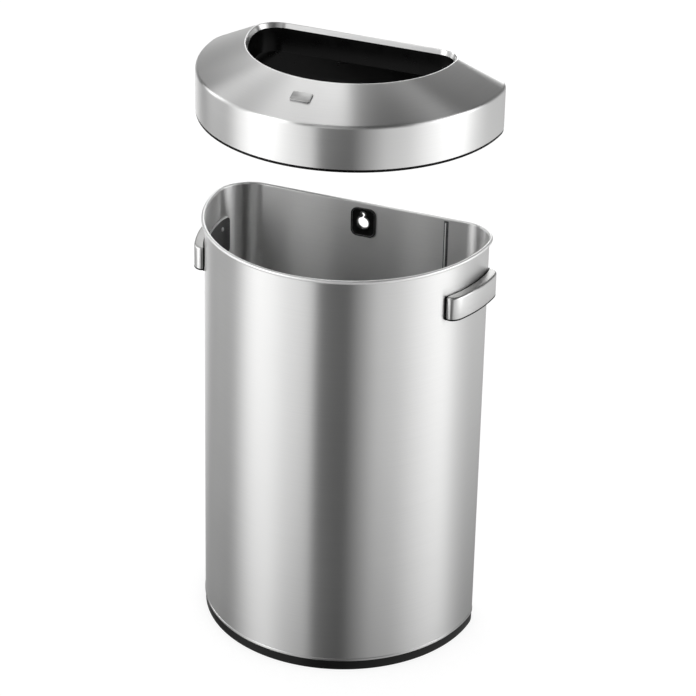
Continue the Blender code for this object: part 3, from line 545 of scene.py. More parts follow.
def wrap_rings():
    """Closed section of the sheet: hem, outer face, curl out and back, inner face."""
    hem_top = SHELL_FOOT + HEM_HEIGHT
    hem_inside = INSIDE + HEM_DEPTH
    edge = SHEET / 4
    section = [(HEM_DEPTH - edge, SHELL_FOOT), (HEM_DEPTH, SHELL_FOOT + edge)]
    section += [(HEM_DEPTH, hem_top), (0.0, hem_top + HEM_DEPTH)]
    turns = [math.radians(180 - CURL_DEGREES * step / CURL_STEPS) for step in range(CURL_STEPS + 1)]
    for radius, order in ((BEAD - SHEET, turns), (BEAD, list(reversed(turns)))):
        section += [(BEAD - SHEET + radius * math.cos(a), CURL_Z + radius * math.sin(a)) for a in order]
    section += [(INSIDE, hem_top + HEM_DEPTH), (hem_inside, hem_top), (hem_inside, SHELL_FOOT)]
    return [BODY.ring(offset, z) for offset, z in section]


def looks_inward(face):
    outward = Vector((face.center.x, face.center.y - BODY.side_y / 2, 0.0))
    return outward.dot(face.normal) < 0


def body_wrap(material, inside_material, highlight_material):
    """Sheet wrap with its hemmed foot, its rolled rim and the window for the bracket's collar."""
    wrap = sweep("body_wrap", wrap_rings(), BODY.runs, True, WRAP_SHARP_DEGREES)
    outline = keyhole_outline(COLLAR_WALL + CLEARANCE)
    window = prism("window", outline, BACK_Y - SHEET - OVERRUN, BACK_Y + OVERRUN)
    cut(wrap, window, WRAP_SHARP_DEGREES)
    dress(wrap, "bin", "brushed_steel", material, "body_shell")
    dress_faces(wrap, inside_material, lambda f: f.center.z > CURL_Z or looks_inward(f))
    # The rolled bead, but for the straight back rim, takes a brighter steel: a painted highlight.
    round_rim_end = BACK_Y - STRAIGHT_RIM
    dress_faces(wrap, highlight_material, lambda f: f.center.z > CURL_Z - BEAD and f.center.y <= round_rim_end)


def arch_bar(name, width, rise, foot, top):
    """Upright rounded bar along the seam, its back sunk into the sheet."""
    turns = [math.pi * step / (2 * TURN_STEPS) for step in range(2 * TURN_STEPS + 1)]
    wall = BACK_Y - SHEET
    arch = [(SEAM_X + width / 2, BACK_Y - SHEET / 2)]
    arch += [(SEAM_X + width / 2 * math.cos(a), wall - rise * math.sin(a)) for a in turns]
    arch.append((SEAM_X - width / 2, BACK_Y - SHEET / 2))
    return post(name, arch, (foot, top))


def lap_seam(shade_material, bead_material):
    """Flat strip of the lapped sheet with a bead along its middle; the strip and the bead's right side take
    dark steel as painted shade.
    """
    foot = SHELL_FOOT + RING_UPSTAND + CLEARANCE
    strip = arch_bar("lap_strip", SEAM_WIDTH, SEAM_THICKNESS / 2, foot, RIM_HEIGHT - SEAM_BELOW_RIM)
    bead = arch_bar("lap_bead", SEAM_BEAD_WIDTH, SEAM_BEAD_RISE, foot, RIM_HEIGHT - SEAM_BEAD_BELOW_RIM)
    dress(strip, "bin", "brushed_steel", shade_material)
    dress(bead, "bin", "brushed_steel", bead_material)
    dress_faces(bead, shade_material, lambda f: f.normal.x > BEAD_SHADE_LEAN)


def base_ring(material):
    """Hollow ring with the shoulder and upstand for the wrap, the floor's ledge and screw bosses."""
    face = -RING_INSET
    upstand = INSIDE - CLEARANCE
    upstand_in = upstand - RING_UPSTAND_WALL
    top = RING_HEIGHT + RING_UPSTAND
    inner = -RING_WIDTH
    roof = RING_LEDGE - RING_ROOF
    small = RING_CHAMFER / 4
    ring = sweep("foot_ring", section_rings([
        (BODY, face - RING_CHAMFER, 0.0, small), (BODY, face, RING_CHAMFER, small),
        (BODY, face, RING_HEIGHT, small), (BODY, upstand, RING_HEIGHT, 0),
        (BODY, upstand, top, small), (BODY, upstand_in, top, small),
        (BODY, upstand_in, RING_LEDGE, 0), (BODY, inner, RING_LEDGE, small),
        (BODY, inner, 0.0, small), (BODY, RING_INNER_WALL + inner, 0.0, small),
        (BODY, RING_INNER_WALL + inner, roof, 0), (BODY, face - RING_OUTER_WALL, roof, 0),
        (BODY, face - RING_OUTER_WALL, 0.0, small),
    ]), BODY.runs, True)
    merge(ring, [ring_boss(distance, roof) for distance in floor_screw_distances()])
    dress(ring, "bin", "black_plastic", material, "base_ring")


def ring_boss(distance, roof):
    """Block across the ring's hollow that takes a floor screw."""
    reach = RING_WIDTH - RING_OUTER_WALL - RING_INNER_WALL
    middle, normal = BODY.along(distance, -RING_OUTER_WALL - reach / 2)
    along = np.array((-normal[1], normal[0])) * RING_BOSS_WIDTH / 2
    across = (reach / 2 + JOIN) * normal
    corners = [middle + u * across + v * along for u, v in ((-1, -1), (1, -1), (1, 1), (-1, 1))]
    return post("boss", corners, (RING_BOSS_LIFT, roof + JOIN))


def floor_screw_distances():
    half = BODY.half_length
    return [half * (2 * step + 1 - FLOOR_SCREWS) / FLOOR_SCREWS for step in range(FLOOR_SCREWS)]


def pan_rings(floor):
    """From the flange's top down to the floor, up the step and in towards the middle."""
    edge = INSIDE - RING_UPSTAND_WALL - 2 * CLEARANCE - PAN_SHEET
    step_foot = BODY.ring(-PAN_MARGIN, floor)
    step_top = BODY.ring(-PAN_MARGIN - PAN_STEP_WIDTH, floor + PAN_STEP_HEIGHT)
    middle = (step_foot + step_top) / 2
    run = PAN_STEP_WIDTH / 3
    above, beside = BODY.ring(edge, floor + PAN_RADIUS), BODY.ring(edge - PAN_RADIUS, floor)
    rings = [BODY.ring(edge, floor + PAN_FLANGE)]
    rings += soft_corner(above, BODY.ring(edge, floor), beside, TURN_STEPS)
    rings += soft_corner(BODY.ring(run - PAN_MARGIN, floor), step_foot, middle, TURN_STEPS)
    flat = BODY.ring(-PAN_MARGIN - PAN_STEP_WIDTH - run, floor + PAN_STEP_HEIGHT)
    rings += soft_corner(middle, step_top, flat, TURN_STEPS)[1:]
    centre = np.array((0.0, BODY.side_y / 2, floor + PAN_STEP_HEIGHT))
    for share in PAN_CENTRE_SHARES:
        rings.append(rings[-1] + share * (centre - rings[-1]))
    return rings


def floor_pan(material):
    """Pressed sheet with a turned-up flange and a raised middle."""
    floor = RING_LEDGE + CLEARANCE + PAN_SHEET
    pan = sweep("pan_sheet", pan_rings(floor), BODY.runs, False)
    work = bmesh.new()
    work.from_mesh(pan.data)
    flange_top = floor + 2 * PAN_STEP_HEIGHT
    gap = [edge for edge in work.edges if edge.is_boundary and edge.verts[0].co.z < flange_top]
    bmesh.ops.edgeloop_fill(work, edges=gap)
    work.to_mesh(pan.data)
    work.free()
    thicken(pan, PAN_SHEET)
    dress(pan, "bin", "brushed_steel", material, "floor_pan")


def screw_mesh(name, shank):
    """Pan-head screw along +Z with a cross recess in its crown."""
    tip = SCREW_HEAD_HEIGHT + shank
    profile = [(r * SCREW_HEAD, z * SCREW_HEAD_HEIGHT) for r, z in SCREW_HEAD_PROFILE]
    profile += [(SCREW_RADIUS, SCREW_HEAD_HEIGHT), (SCREW_RADIUS, tip - SCREW_RADIUS)]
    profile.append((SCREW_TIP_SHARE * SCREW_RADIUS, tip))
    rings = [level_ring(circle((0.0, 0.0), radius, SCREW_SIDES), z) for radius, z in profile]
    screw = bar(name, rings, SCREW_SHARP_DEGREES)
    for size in ((RECESS_WIDTH, RECESS_LENGTH), (RECESS_LENGTH, RECESS_WIDTH)):
        x, y = (share * SCREW_HEAD for share in size)
        outline = [(-x, -y), (x, -y), (x, y), (-x, y)]
        recess = post("recess", outline, (-SCREW_HEAD_HEIGHT, RECESS_DEPTH * SCREW_HEAD_HEIGHT))
        cut(screw, recess, SCREW_SHARP_DEGREES)
    return screw


def place_screws(kind, node_kind, endings, shank, places, axes, body, material):
    """Screws that share one mesh, each with its head's top at its place."""
    first = screw_mesh(f"{kind}_{endings[0]}", shank)
    for ending, place, axis in zip(endings, places, axes):
        screw = first if ending == endings[0] else add_object(f"{kind}_{ending}", first.data)
        screw.location = place
        screw.rotation_euler = Vector(axis).to_track_quat("Z", "Y").to_euler()
        dress(screw, body, "screw_steel", material, f"{node_kind}_{ending}")


def floor_screws(material):
    head = RING_LEDGE + PAN_SHEET + 2 * CLEARANCE + SCREW_HEAD_HEIGHT
    spots = [BODY.along(distance, -FLOOR_SCREW_SETBACK)[0] for distance in floor_screw_distances()]
    places = [(x, y, head) for x, y in spots]
    axes = [(0, 0, -1)] * FLOOR_SCREWS
    numbers = range(1, FLOOR_SCREWS + 1)
    place_screws("pan_screw", "floor_screw", numbers, FLOOR_SCREW_GRIP, places, axes, "bin", material)


def open_circle(middle_z, radius, opening, shut, steps, skipped=0):
    """Points (x, z) round a circle that is open by shut to both sides of the direction opening."""
    span = 2 * math.pi - 2 * shut
    turns = [opening + shut + span * step / steps for step in range(skipped, steps + 1 - skipped)]
    return [(radius * math.cos(a), middle_z + radius * math.sin(a)) for a in turns]


def keyhole_outline(grow):
    """Round head below, narrow neck and small round slot above; grown rounds that meet are joined."""
    head = KEYHOLE_HEAD + grow
    slot = KEYHOLE_SLOT + grow
    neck = KEYHOLE_NECK / 2 + grow
    rise = KEYHOLE_BELOW_RIM - SLOT_BELOW_RIM
    meet_rise = (rise ** 2 + head ** 2 - slot ** 2) / (2 * rise)
    meet_half = math.sqrt(max(head ** 2 - meet_rise ** 2, 0.0))
    meeting = meet_half > neck
    if meeting:
        neck = meet_half
    head_z = RIM_HEIGHT - KEYHOLE_BELOW_RIM
    outline = open_circle(head_z, head, math.pi / 2, math.asin(neck / head), CIRCLE_STEPS)
    shut = math.asin(neck / slot)
    if rise < meet_rise:
        shut = math.pi - shut
    shared = 1 if meeting else 0
    return outline + open_circle(head_z + rise, slot, -math.pi / 2, shut, CIRCLE_STEPS // 2, shared)


def bracket_outline(inset=0.0):
    middle = RIM_HEIGHT - BRACKET_BELOW_RIM
    half_width = BRACKET_WIDTH / 2 - inset
    half_height = BRACKET_HEIGHT / 2 - inset
    outline = rounded_rectangle(half_width, half_height, BRACKET_CORNER - inset, PLATE_CORNER_STEPS)
    return [(x, middle + z) for x, z in outline]


def wall_bracket(material, highlight_material):
    """Plate with a raised border inside the back wall, its collar through the wall and the keyhole."""
    plate_out = BACK_Y - SHEET - CLEARANCE
    plate_in = plate_out - BRACKET_PLATE
    border_in = plate_in - BRACKET_BORDER_HEIGHT
    collar_out = BACK_Y + CLEARANCE + RETAINER
    around = keyhole_outline(COLLAR_WALL)
    plate = prism("bracket_plate", bracket_outline(), border_in, plate_out)
    field = prism("field", bracket_outline(BRACKET_BORDER), border_in - OVERRUN, plate_in)
    cut(field, prism("island", around, border_in - 2 * OVERRUN, plate_in + OVERRUN))
    cut(plate, field)
    combine(plate, prism("collar", around, plate_in + BRACKET_PLATE / 2, collar_out), "UNION")
    cut(plate, prism("keyhole", keyhole_outline(0.0), border_in - OVERRUN, collar_out + OVERRUN))
    soften(plate, BRACKET_ROUND, 3)
    dress(plate, "bin", "black_plastic", material, "wall_bracket")
    # Its rounded border faces take a lighter plastic: a painted highlight.
    low, high = BRACKET_HIGHLIGHT_LEANS
    dress_faces(plate, highlight_material, lambda f: low < f.normal.y < high)


def bracket_retainer(material):
    """Flat plate round the collar, outside the back wall."""
    near = BACK_Y + CLEARANCE
    far = near + RETAINER
    plate = prism("bracket_back_plate", bracket_outline(), near, far)
    cut(plate, prism("hole", keyhole_outline(COLLAR_WALL + CLEARANCE), near - OVERRUN, far + OVERRUN))
    soften(plate, BRACKET_ROUND / 2, 2)
    dress(plate, "bin", "black_plastic", material, "wall_bracket_retainer")


# Handles

def plan_ring(side, plan, z):
    """Ring at a height through (distance along the body, offset from it)."""
    ring = []
    for distance, offset in plan:
        (x, y), _ = BODY.along(side * distance, offset)
        ring.append((x, y, z))
    return np.array(ring)


def wall_strip(name, side, span, steps, offsets, levels):
    """Bar that follows the body between two distances, two offsets and two heights."""
    stations = np.linspace(*span, steps + 1)
    outer, inner = offsets
    plan = [(s, outer) for s in stations] + [(s, inner) for s in reversed(stations)]
    return bar(name, [plan_ring(side, plan, z) for z in levels])


def handle_plan(inset, near):
    """Plan of a handle: round ends and outer face moved in by inset, wall side at near."""
    start = HANDLE_START + inset
    length = HANDLE_LENGTH - 2 * inset
    turn = HANDLE_END_ROUND - inset
    low = max(HANDLE_END_REACH - inset, near + JOIN)
    high = HANDLE_REACH - inset
    angles = quarter_turn(HANDLE_END_STEPS, 1)
    bends = [(turn * (1 - math.cos(a)), low + (high - low) * math.sin(a)) for a in angles]
    middle = length - 2 * turn
    outer = [(start, low)]
    outer += [(start + run, offset) for run, offset in bends]
    outer += [(start + turn + middle * step / HANDLE_STEPS, high) for step in range(1, HANDLE_STEPS)]
    outer += [(start + length - run, offset) for run, offset in reversed(bends)]
    outer.append((start + length, low))
    return outer + [(distance, near) for distance, _ in reversed(outer)]


def handle_body(name, side, inset, near, bottom, top, top_turn, foot_turn=0.0):
    """Solid with a handle's plan, a soft top edge and, if asked for, a soft bottom edge."""
    levels = [(inset, bottom)]
    if foot_turn:
        third = foot_turn / 3
        levels = [(inset + foot_turn, bottom), (inset + third, bottom + third), (inset, bottom + foot_turn)]
    levels += [(inset + across, top - down) for across, down in round_edge(top_turn, TURN_STEPS)]
    return bar(name, [plan_ring(side, handle_plan(drawn_in, near), z) for drawn_in, z in levels])


def handle_cover(word, side, steel, shaded_top_steel):
    """Formed sheet, open below and against the wall."""
    near = HANDLE_FLANGE + CLEARANCE
    cover = handle_body(
        f"grip_cover_{word}", side, 0.0, near, HANDLE_BOTTOM, HANDLE_TOP, HANDLE_TOP_RADIUS, COVER_SHEET / 3
    )
    hollow = handle_body(
        "hollow", side, COVER_SHEET, near - OVERRUN, HANDLE_BOTTOM - OVERRUN, HANDLE_TOP - COVER_SHEET,
        HANDLE_TOP_RADIUS - COVER_SHEET,
    )
    cut(cover, hollow)
    dress(cover, "bin", "brushed_steel", steel, f"handle_cover_{word}")
    # Tops take a darker steel: painted shade, a dark reflection painted into the colour.
    dress_faces(cover, shaded_top_steel, lambda f: f.normal.z > FLAT_LEAN)


def handle_core(word, side, material):
    """Plastic core under the cover, with a bottom lip, a wall flange and a finger recess."""
    inset = COVER_SHEET + CLEARANCE
    top = HANDLE_TOP - inset
    foot = HANDLE_BOTTOM - CLEARANCE - HANDLE_LIP
    lip_top = foot + HANDLE_LIP
    edge = HANDLE_LIP_EDGE
    core = handle_body(
        f"grip_core_{word}", side, inset, HANDLE_FLANGE / 2, foot + HANDLE_LIP / 2, top,
        HANDLE_TOP_RADIUS - inset,
    )
    levels = ((edge, foot), (0.0, foot + edge), (0.0, lip_top - edge), (edge, lip_top))
    lip = [plan_ring(side, handle_plan(drawn_in, HANDLE_FLANGE / 3), z) for drawn_in, z in levels]
    combine(core, bar("lip", lip), "UNION")
    flange = wall_strip(
        "flange", side, (HANDLE_START - FLANGE_DROP, HANDLE_END + FLANGE_DROP), 2 * HANDLE_STEPS,
        (HANDLE_FLANGE, CLEARANCE), (foot - FLANGE_DROP, HANDLE_TOP),
    )
    combine(core, flange, "UNION")
    recess = wall_strip(
        "recess", side, (HANDLE_START + SOLID_END, HANDLE_END - SOLID_END), HANDLE_STEPS,
        (HANDLE_REACH - inset - CORE_WALL, HANDLE_FLANGE + GRIP_WALL),
        (foot - FLANGE_DROP - OVERRUN, top - GRIP_ROOF),
    )
    cut(core, recess)
    dress(core, "bin", "black_plastic", material, f"handle_core_{word}")


def backing_section(side, distance, drop):
    """Upright section of the plate, its inner edges rounded, drawn in by drop at top and bottom."""
    outer = INSIDE - BACKING_GAP
    inner = outer - BACKING
    top = RIM_HEIGHT - BACKING_BELOW_RIM - drop
    bottom = RIM_HEIGHT - BACKING_BELOW_RIM - BACKING_HEIGHT + drop
    bends = round_edge(BACKING_EDGE, EDGE_STEPS)
    profile = [(outer, bottom), (outer, top)]
    profile += [(inner + across, top - down) for down, across in bends]
    profile += [(inner + across, bottom + up) for across, up in bends]
    points = [(*BODY.along(side * distance, offset)[0], z) for offset, z in profile]
    return np.array(points)


def backing_plate(word, side, material, highlight_material):
    """Plate inside the wall that follows the body, with round corners."""
    start, end = HANDLE_START - BACKING_PAST, HANDLE_END + BACKING_PAST
    runs = round_edge(BACKING_CORNER, TURN_STEPS)
    stations = [(start + run, drop) for run, drop in runs]
    stations += [(distance, 0.0) for distance in np.linspace(start, end, 2 * HANDLE_STEPS + 1)[2:-2]]
    stations += [(end - run, drop) for run, drop in reversed(runs)]
    sections = [backing_section(side, distance, drop) for distance, drop in stations]
    plate = bar(f"inner_plate_{word}", sections)
    dress(plate, "bin", "plate_steel", material, f"handle_backing_{word}")
    # Each section's faces are numbered in turn; this one is the flat face that looks into the bin
    flat = EDGE_STEPS + 2
    # All faces but that one take a brighter steel: a painted highlight on the plate's rounded edges.
    dress_faces(plate, highlight_material, lambda f: f.index % len(sections[0]) != flat)


def handle_screws(word, side, material):
    places = []
    axes = []
    for distance in (HANDLE_START + SCREW_FROM_END, HANDLE_END - SCREW_FROM_END):
        (x, y), normal = BODY.along(side * distance, -HANDLE_STACK - CLEARANCE - SCREW_HEAD_HEIGHT)
        places.append((x, y, HANDLE_TOP - HANDLE_HEIGHT / 2))
        axes.append((*normal, 0.0))
    endings = (f"{word}_front", f"{word}_rear")
    grip = HANDLE_STACK + CLEARANCE + HANDLE_SCREW_BITE
    place_screws("grip_screw", "handle_screw", endings, grip, places, axes, "bin", material)


# Lid

def lid_skin(material, highlight_material):
    """Skirt, crease, slope up to the mouth and the lip that turns down into it."""
    foot = BODY.ring(OVERHANG, SKIRT_FOOT)
    crease = BODY.ring(OVERHANG, CREASE)
    crest = MOUTH.ring(0.0, CREST + CREST_DIP)
    lip = MOUTH.ring(-LIP_REACH, LIP_FOOT)
    rings = [foot]
    rings += turned_corner(foot, crease, crest, CREASE_RUN, TURN_STEPS)
    rings += turned_corner(crease, crest, lip, CREST_RUN, TURN_STEPS)
    rings.append(lip)
    skin = sweep("lid_skin", rings, BODY.runs, False, SOFT_SHARP_DEGREES)
    thicken(skin, SHEET)
    dress(skin, "lid", "brushed_steel", material, "lid_shell")
    # Faces at the crest take a brighter steel: a painted highlight along the mouth's lip.
    dress_faces(skin, highlight_material, lambda f: f.center.z > CREST - CREST_DIP)


def lid_frame(material):
    """Frame in the skirt: visible flange, seat for the rim, locating wall and deck up to the shelf."""
    face = OVERHANG - FLANGE_INSET
    wall = OVERHANG - SHEET - CLEARANCE
    locate = INSIDE - LOCATING_PLAY
    inner = locate - LOCATING_WALL
    seat = LID_BOTTOM + SEAT_DEPTH
    shelf_inner = CLEARANCE - LIP_REACH - LINER_STEP - LINER_DRAFT + LINER_WALL
    small = FLANGE_CHAMFER / 2
    ring = sweep("lid_inner_frame", section_rings([
        (BODY, face, LID_BOTTOM, FLANGE_CHAMFER), (BODY, face, LID_BOTTOM + FLANGE, small / 2),
        (BODY, wall, LID_BOTTOM + FLANGE, 0), (BODY, wall, seat + WEB, 0),
        (BODY, inner + DECK_ROOT, seat + WEB, 0), (MOUTH, SHELF_WIDTH + DECK_TOP, SHELF_Z + SHELF, 0),
        (MOUTH, shelf_inner, SHELF_Z + SHELF, 0), (MOUTH, shelf_inner, SHELF_Z, small),
        (MOUTH, SHELF_WIDTH, SHELF_Z, small), (BODY, inner, seat, small),
        (BODY, inner, seat - LOCATING_DEPTH, small), (BODY, locate, seat - LOCATING_DEPTH, small),
        (BODY, locate, seat, 0), (BODY, wall - FRAME_WALL, seat, small),
        (BODY, wall - FRAME_WALL, LID_BOTTOM, small),
    ]), BODY.runs, True)
    dress(ring, "lid", "black_plastic", material, "lid_frame")


def throat(material):
    """Liner with a tongue behind the mouth's lip, a flange on the frame's shelf and screw bosses."""
    inside = -LIP_REACH - LINER_STEP
    top = LIP_FOOT - CLEARANCE
    tongue = TONGUE_GAP + SHEET - LIP_REACH
    lean = LIP_REACH / LIP_DROP * TONGUE_HEIGHT
    flange = SHELF_Z + SHELF + CLEARANCE
    flange_top = flange + LINER_FLANGE
    outside = inside + LINER_WALL - LINER_DRAFT
    small = LINER_WALL / 4
    liner = sweep("throat", section_rings([
        (MOUTH, inside, top, small), (MOUTH, tongue, top, 0),
        (MOUTH, tongue + lean, top + TONGUE_HEIGHT, 0),
        (MOUTH, tongue + lean + TONGUE, top + TONGUE_HEIGHT, 0),
        (MOUTH, tongue + TONGUE, top - TONGUE, 0), (MOUTH, outside, flange_top, 0),
        (MOUTH, LINER_FLANGE_WIDTH, flange_top, 0), (MOUTH, LINER_FLANGE_WIDTH, flange, 0),
        (MOUTH, outside, flange, 0), (MOUTH, outside, LINER_FOOT, small),
        (MOUTH, inside - LINER_DRAFT, LINER_FOOT, small),
    ]), MOUTH.runs, True)
    levels = (flange + LINER_FLANGE / 2, flange_top + LINER_BOSS_HEIGHT)
    rounds = [circle(spot, LINER_BOSS_RADIUS, LINER_BOSS_SIDES) for spot in lid_screw_spots()]
    merge(liner, [post("boss", outline, levels) for outline in rounds])
    dress(liner, "lid", "black_plastic", material, "throat_liner")


def lid_screw_spots():
    return [
        tuple(MOUTH.along(side * share * MOUTH.half_length, LINER_SCREW_OFFSET)[0])
        for share in LID_SCREW_SHARES for side in (-1, 1)
    ]


def lid_screws(material):
    head = SHELF_Z - CLEARANCE - SCREW_HEAD_HEIGHT
    places = [(x, y, head) for x, y in lid_screw_spots()]
    axes = [(0, 0, 1)] * len(places)
    endings = [f"{spot}_{word}" for spot in LID_SCREW_SPOTS for word in ("left", "right")]
    grip = SHELF + 2 * CLEARANCE + LINER_SCREW_BITE
    place_screws("frame_screw", "lid_screw", endings, grip, places, axes, "lid", material)


def slope_point(x, share):
    """Point on the lid's slope above the front, at a sideways distance and a share of the way up."""
    outer = math.asin(x / (BODY.half_width + OVERHANG))
    low = np.array([x, BODY.side_y - (BODY.front_depth + OVERHANG) * math.cos(outer), CREASE])
    inner = math.asin(x / MOUTH.half_width)
    high = np.array([x, MOUTH.side_y - MOUTH.front_depth * math.cos(inner), CREST + CREST_DIP])
    return low + share * (high - low)


def badge(material, shaded_side_material):
    """Bare plate with rounded corners, bent to the slope."""
    way = slope_point(0.0, 1.0) - slope_point(0.0, 0.0)
    span = np.linalg.norm(way)
    normal = np.array((0.0, -way[2], way[1])) / span
    half_x, half_s = BADGE_WIDTH / 2, BADGE_LENGTH / 2
    outline = rounded_rectangle(half_x, half_s, BADGE_CORNER, BADGE_CORNER_STEPS)
    third = BADGE_EDGE / 3
    top = BADGE_THICKNESS
    rings = []
    for inset, lift in ((0.0, 0.0), (0.0, top - BADGE_EDGE), (third, top - third), (BADGE_EDGE, top)):
        shrink_x, shrink_s = 1 - inset / half_x, 1 - inset / half_s
        rings.append(np.array([
            slope_point(x * shrink_x, BADGE_SHARE + s * shrink_s / span) + (CLEARANCE + lift) * normal
            for x, s in outline
        ]))
    plate = bar("badge_plate", rings)
    dress(plate, "lid", "brushed_steel", material, "lid_badge")
    # Its sides take dark steel: painted shade.
    dress_faces(plate, shaded_side_material, lambda f: f.normal.dot(Vector(normal)) < FLAT_LEAN)


# Materials

# Noise scales per metre, along X, Y and Z or along a sheet's outline and section
SHEET_GRAIN = (6.0, 1400.0, 1.0)
TRIM_GRAIN = (30.0, 30.0, 900.0)
SCREW_GRAIN = (300.0, 300.0, 300.0)
SHEET_PATCHES = (5.0, 9.0, 7.0)
MOULD_GRAIN = (1500.0, 1500.0, 1500.0)
MOULD_PATCHES = (24.0, 24.0, 24.0)
NOISE_ROUGHNESS = 0.6
# The noise's values that are spread over a whole range
NOISE_RANGE = (0.3, 0.7)
# Depth of the relief in metres, and its strength
RELIEF_DEPTH = 0.0002
SHEET_RELIEF = 0.02
MOULD_RELIEF = 0.12
STREAK_ROTATION = 0.25
# How much more blue than red and green a steel has
WARM = -0.005
NEUTRAL = 0.0
COOL = 0.005


def grey(level, tint=NEUTRAL):
    return (level, level, level + tint, 1.0)


class Graph:
    """Node tree of a material or the world. Inputs take values, outputs, or nodes for their first output."""

    def __init__(self, tree):
        self.nodes = tree.nodes
        self.links = tree.links

    def fill(self, node, inputs):
        for socket, value in inputs.items():
            if isinstance(value, bpy.types.Node):
                value = value.outputs[0]
            if isinstance(value, bpy.types.NodeSocket):
                self.links.new(value, node.inputs[socket])
            else:
                node.inputs[socket].default_value = value

    def add(self, kind, inputs=None):
        node = self.nodes.new("ShaderNode" + kind)
        self.fill(node, inputs or {})
        return node

    def calculate(self, operation, first, second):
        node = self.add("Math", {0: first, 1: second})
        node.operation = operation
        return node

    def ranged(self, source, low, high, from_range=NOISE_RANGE):
        inputs = {"Value": source, "From Min": from_range[0], "From Max": from_range[1]}
        return self.add("MapRange", {**inputs, "To Min": low, "To Max": high})

    def blend(self, factor, first, second):
        node = self.nodes.new("ShaderNodeMix")
        node.data_type = "RGBA"
        self.fill(node, {0: factor, 6: first, 7: second})
        return node.outputs[2]

    def noise(self, scale, detail, use_uv=False):
        """Noise by place on the piece, or by distance along its outline and section."""
        place = self.add("TexCoord").outputs["UV" if use_uv else "Object"]
        stretched = self.add("Mapping", {"Vector": place, "Scale": scale})
        inputs = {"Vector": stretched, "Scale": 1.0, "Detail": detail}
        return self.add("TexNoise", {**inputs, "Roughness": NOISE_ROUGHNESS}).outputs["Fac"]

    def relief(self, height, strength):
        return self.add("Bump", {"Height": height, "Strength": strength, "Distance": RELIEF_DEPTH})

    def ramp(self, place, stops):
        node = self.add("ValToRGB", {"Fac": place})
        elements = node.color_ramp.elements
        while len(elements) > 1:
            elements.remove(elements[-1])
        for number, (degrees, level) in enumerate(stops):
            share = (degrees + 180) / 360
            element = elements[0] if number == 0 else elements.new(share)
            element.position = share
            element.color = grey(level)
        return node


def new_material(name):
    material = bpy.data.materials.new(name)
    material.use_nodes = True
    return material, Graph(material.node_tree), material.node_tree.nodes["Principled BSDF"]


def brushed(name, dark, light, tint, rough, spread, anisotropy, use_uv=False, grain=TRIM_GRAIN):
    """Brushed steel: fine streaks in colour, gloss and relief, with reflections drawn out across them."""
    material, graph, shader = new_material(name)
    fine = graph.noise(grain, 4.0, use_uv)
    broad = graph.noise(SHEET_PATCHES, 3.0, use_uv)
    fine_gloss = graph.ranged(fine, rough - spread, rough + spread)
    broad_gloss = graph.ranged(broad, -spread / 2, spread / 2)
    tangent = graph.add("Tangent")
    tangent.direction_type = "RADIAL"
    tangent.axis = "Z"
    graph.fill(shader, {
        "Base Color": graph.blend(graph.ranged(fine, 0.0, 1.0), grey(dark, tint), grey(light, tint)),
        "Roughness": graph.calculate("ADD", fine_gloss, broad_gloss),
        "Metallic": 1.0,
        "Anisotropic": anisotropy,
        "Anisotropic Rotation": STREAK_ROTATION,
        "Tangent": tangent,
        "Normal": graph.relief(fine, SHEET_RELIEF),
    })
    return material


def moulded(name, dark, light, rough, spread, shine):
    """Black moulded plastic: fine grain, slight changes of gloss and tone."""
    material, graph, shader = new_material(name)
    fine = graph.noise(MOULD_GRAIN, 2.0)
    broad = graph.noise(MOULD_PATCHES, 4.0)
    graph.fill(shader, {
        "Base Color": graph.blend(graph.ranged(broad, 0.0, 1.0), grey(dark), grey(light)),
        "Roughness": graph.ranged(broad, rough - spread, rough + spread),
        "Specular IOR Level": shine,
        "Normal": graph.relief(fine, MOULD_RELIEF),
    })
    return material


# Studio

# Soft panels that metal mirrors: degrees from the front towards the right, and brightness
LOW_PANELS = (
    (-180, 0.55), (-150, 1.25), (-135, 1.15), (-112, 0.25), (-78, 0.55), (-64, 1.5), (-54, 1.4), (-44, 0.9),
    (-16, 1.25), (-6, 0.95), (0, 0.05), (24, 0.1), (36, 0.5), (48, 0.9), (68, 1.05), (108, 1.3), (118, 0.85),
    (128, 0.85), (180, 0.65),
)
MIDDLE_PANELS = (
    (-180, 0.05), (-173, 3.0), (-159, 3.0), (-150, 0.05), (-134, 0.05), (-112, 0.05), (-98, 2.8), (-80, 1.0),
    (-60, 0.75), (-40, 4.6), (-22, 1.05), (-12, 0.05), (0, 0.9), (24, 0.35), (40, 0.05), (64, 0.2), (78, 1.6),
    (90, 2.55), (100, 3.3), (110, 3.4), (120, 1.7), (130, 0.2), (150, 0.2), (180, 0.05),
)
HIGH_PANELS = (
    (-180, 0.05), (-160, 0.5), (-140, 2.45), (-125, 0.05), (-95, 0.4), (-70, 0.6), (-45, 1.45), (-22, 0.15),
    (8, 0.15), (40, 0.05), (180, 0.05),
)
# Each tier with the height of its direction, from -1 straight down to 1 straight up
PANEL_TIERS = ((LOW_PANELS, -0.3), (MIDDLE_PANELS, 0.3), (HIGH_PANELS, 0.8))
PLAIN_LEVEL = 0.9
WHITE_LEVEL = 1.0

FLOOR_SIZE = 12.0
FLOOR_GREY = 0.3
FLOOR_GLOW = 0.78
FLOOR_PLAIN = 0.8
# How dark the painted shade is on the floor that metal mirrors at the bin's foot, and from and to how far out
FOOT_SHADE = 0.42
FOOT_SHADE_REACH = (0.2, 1.5)


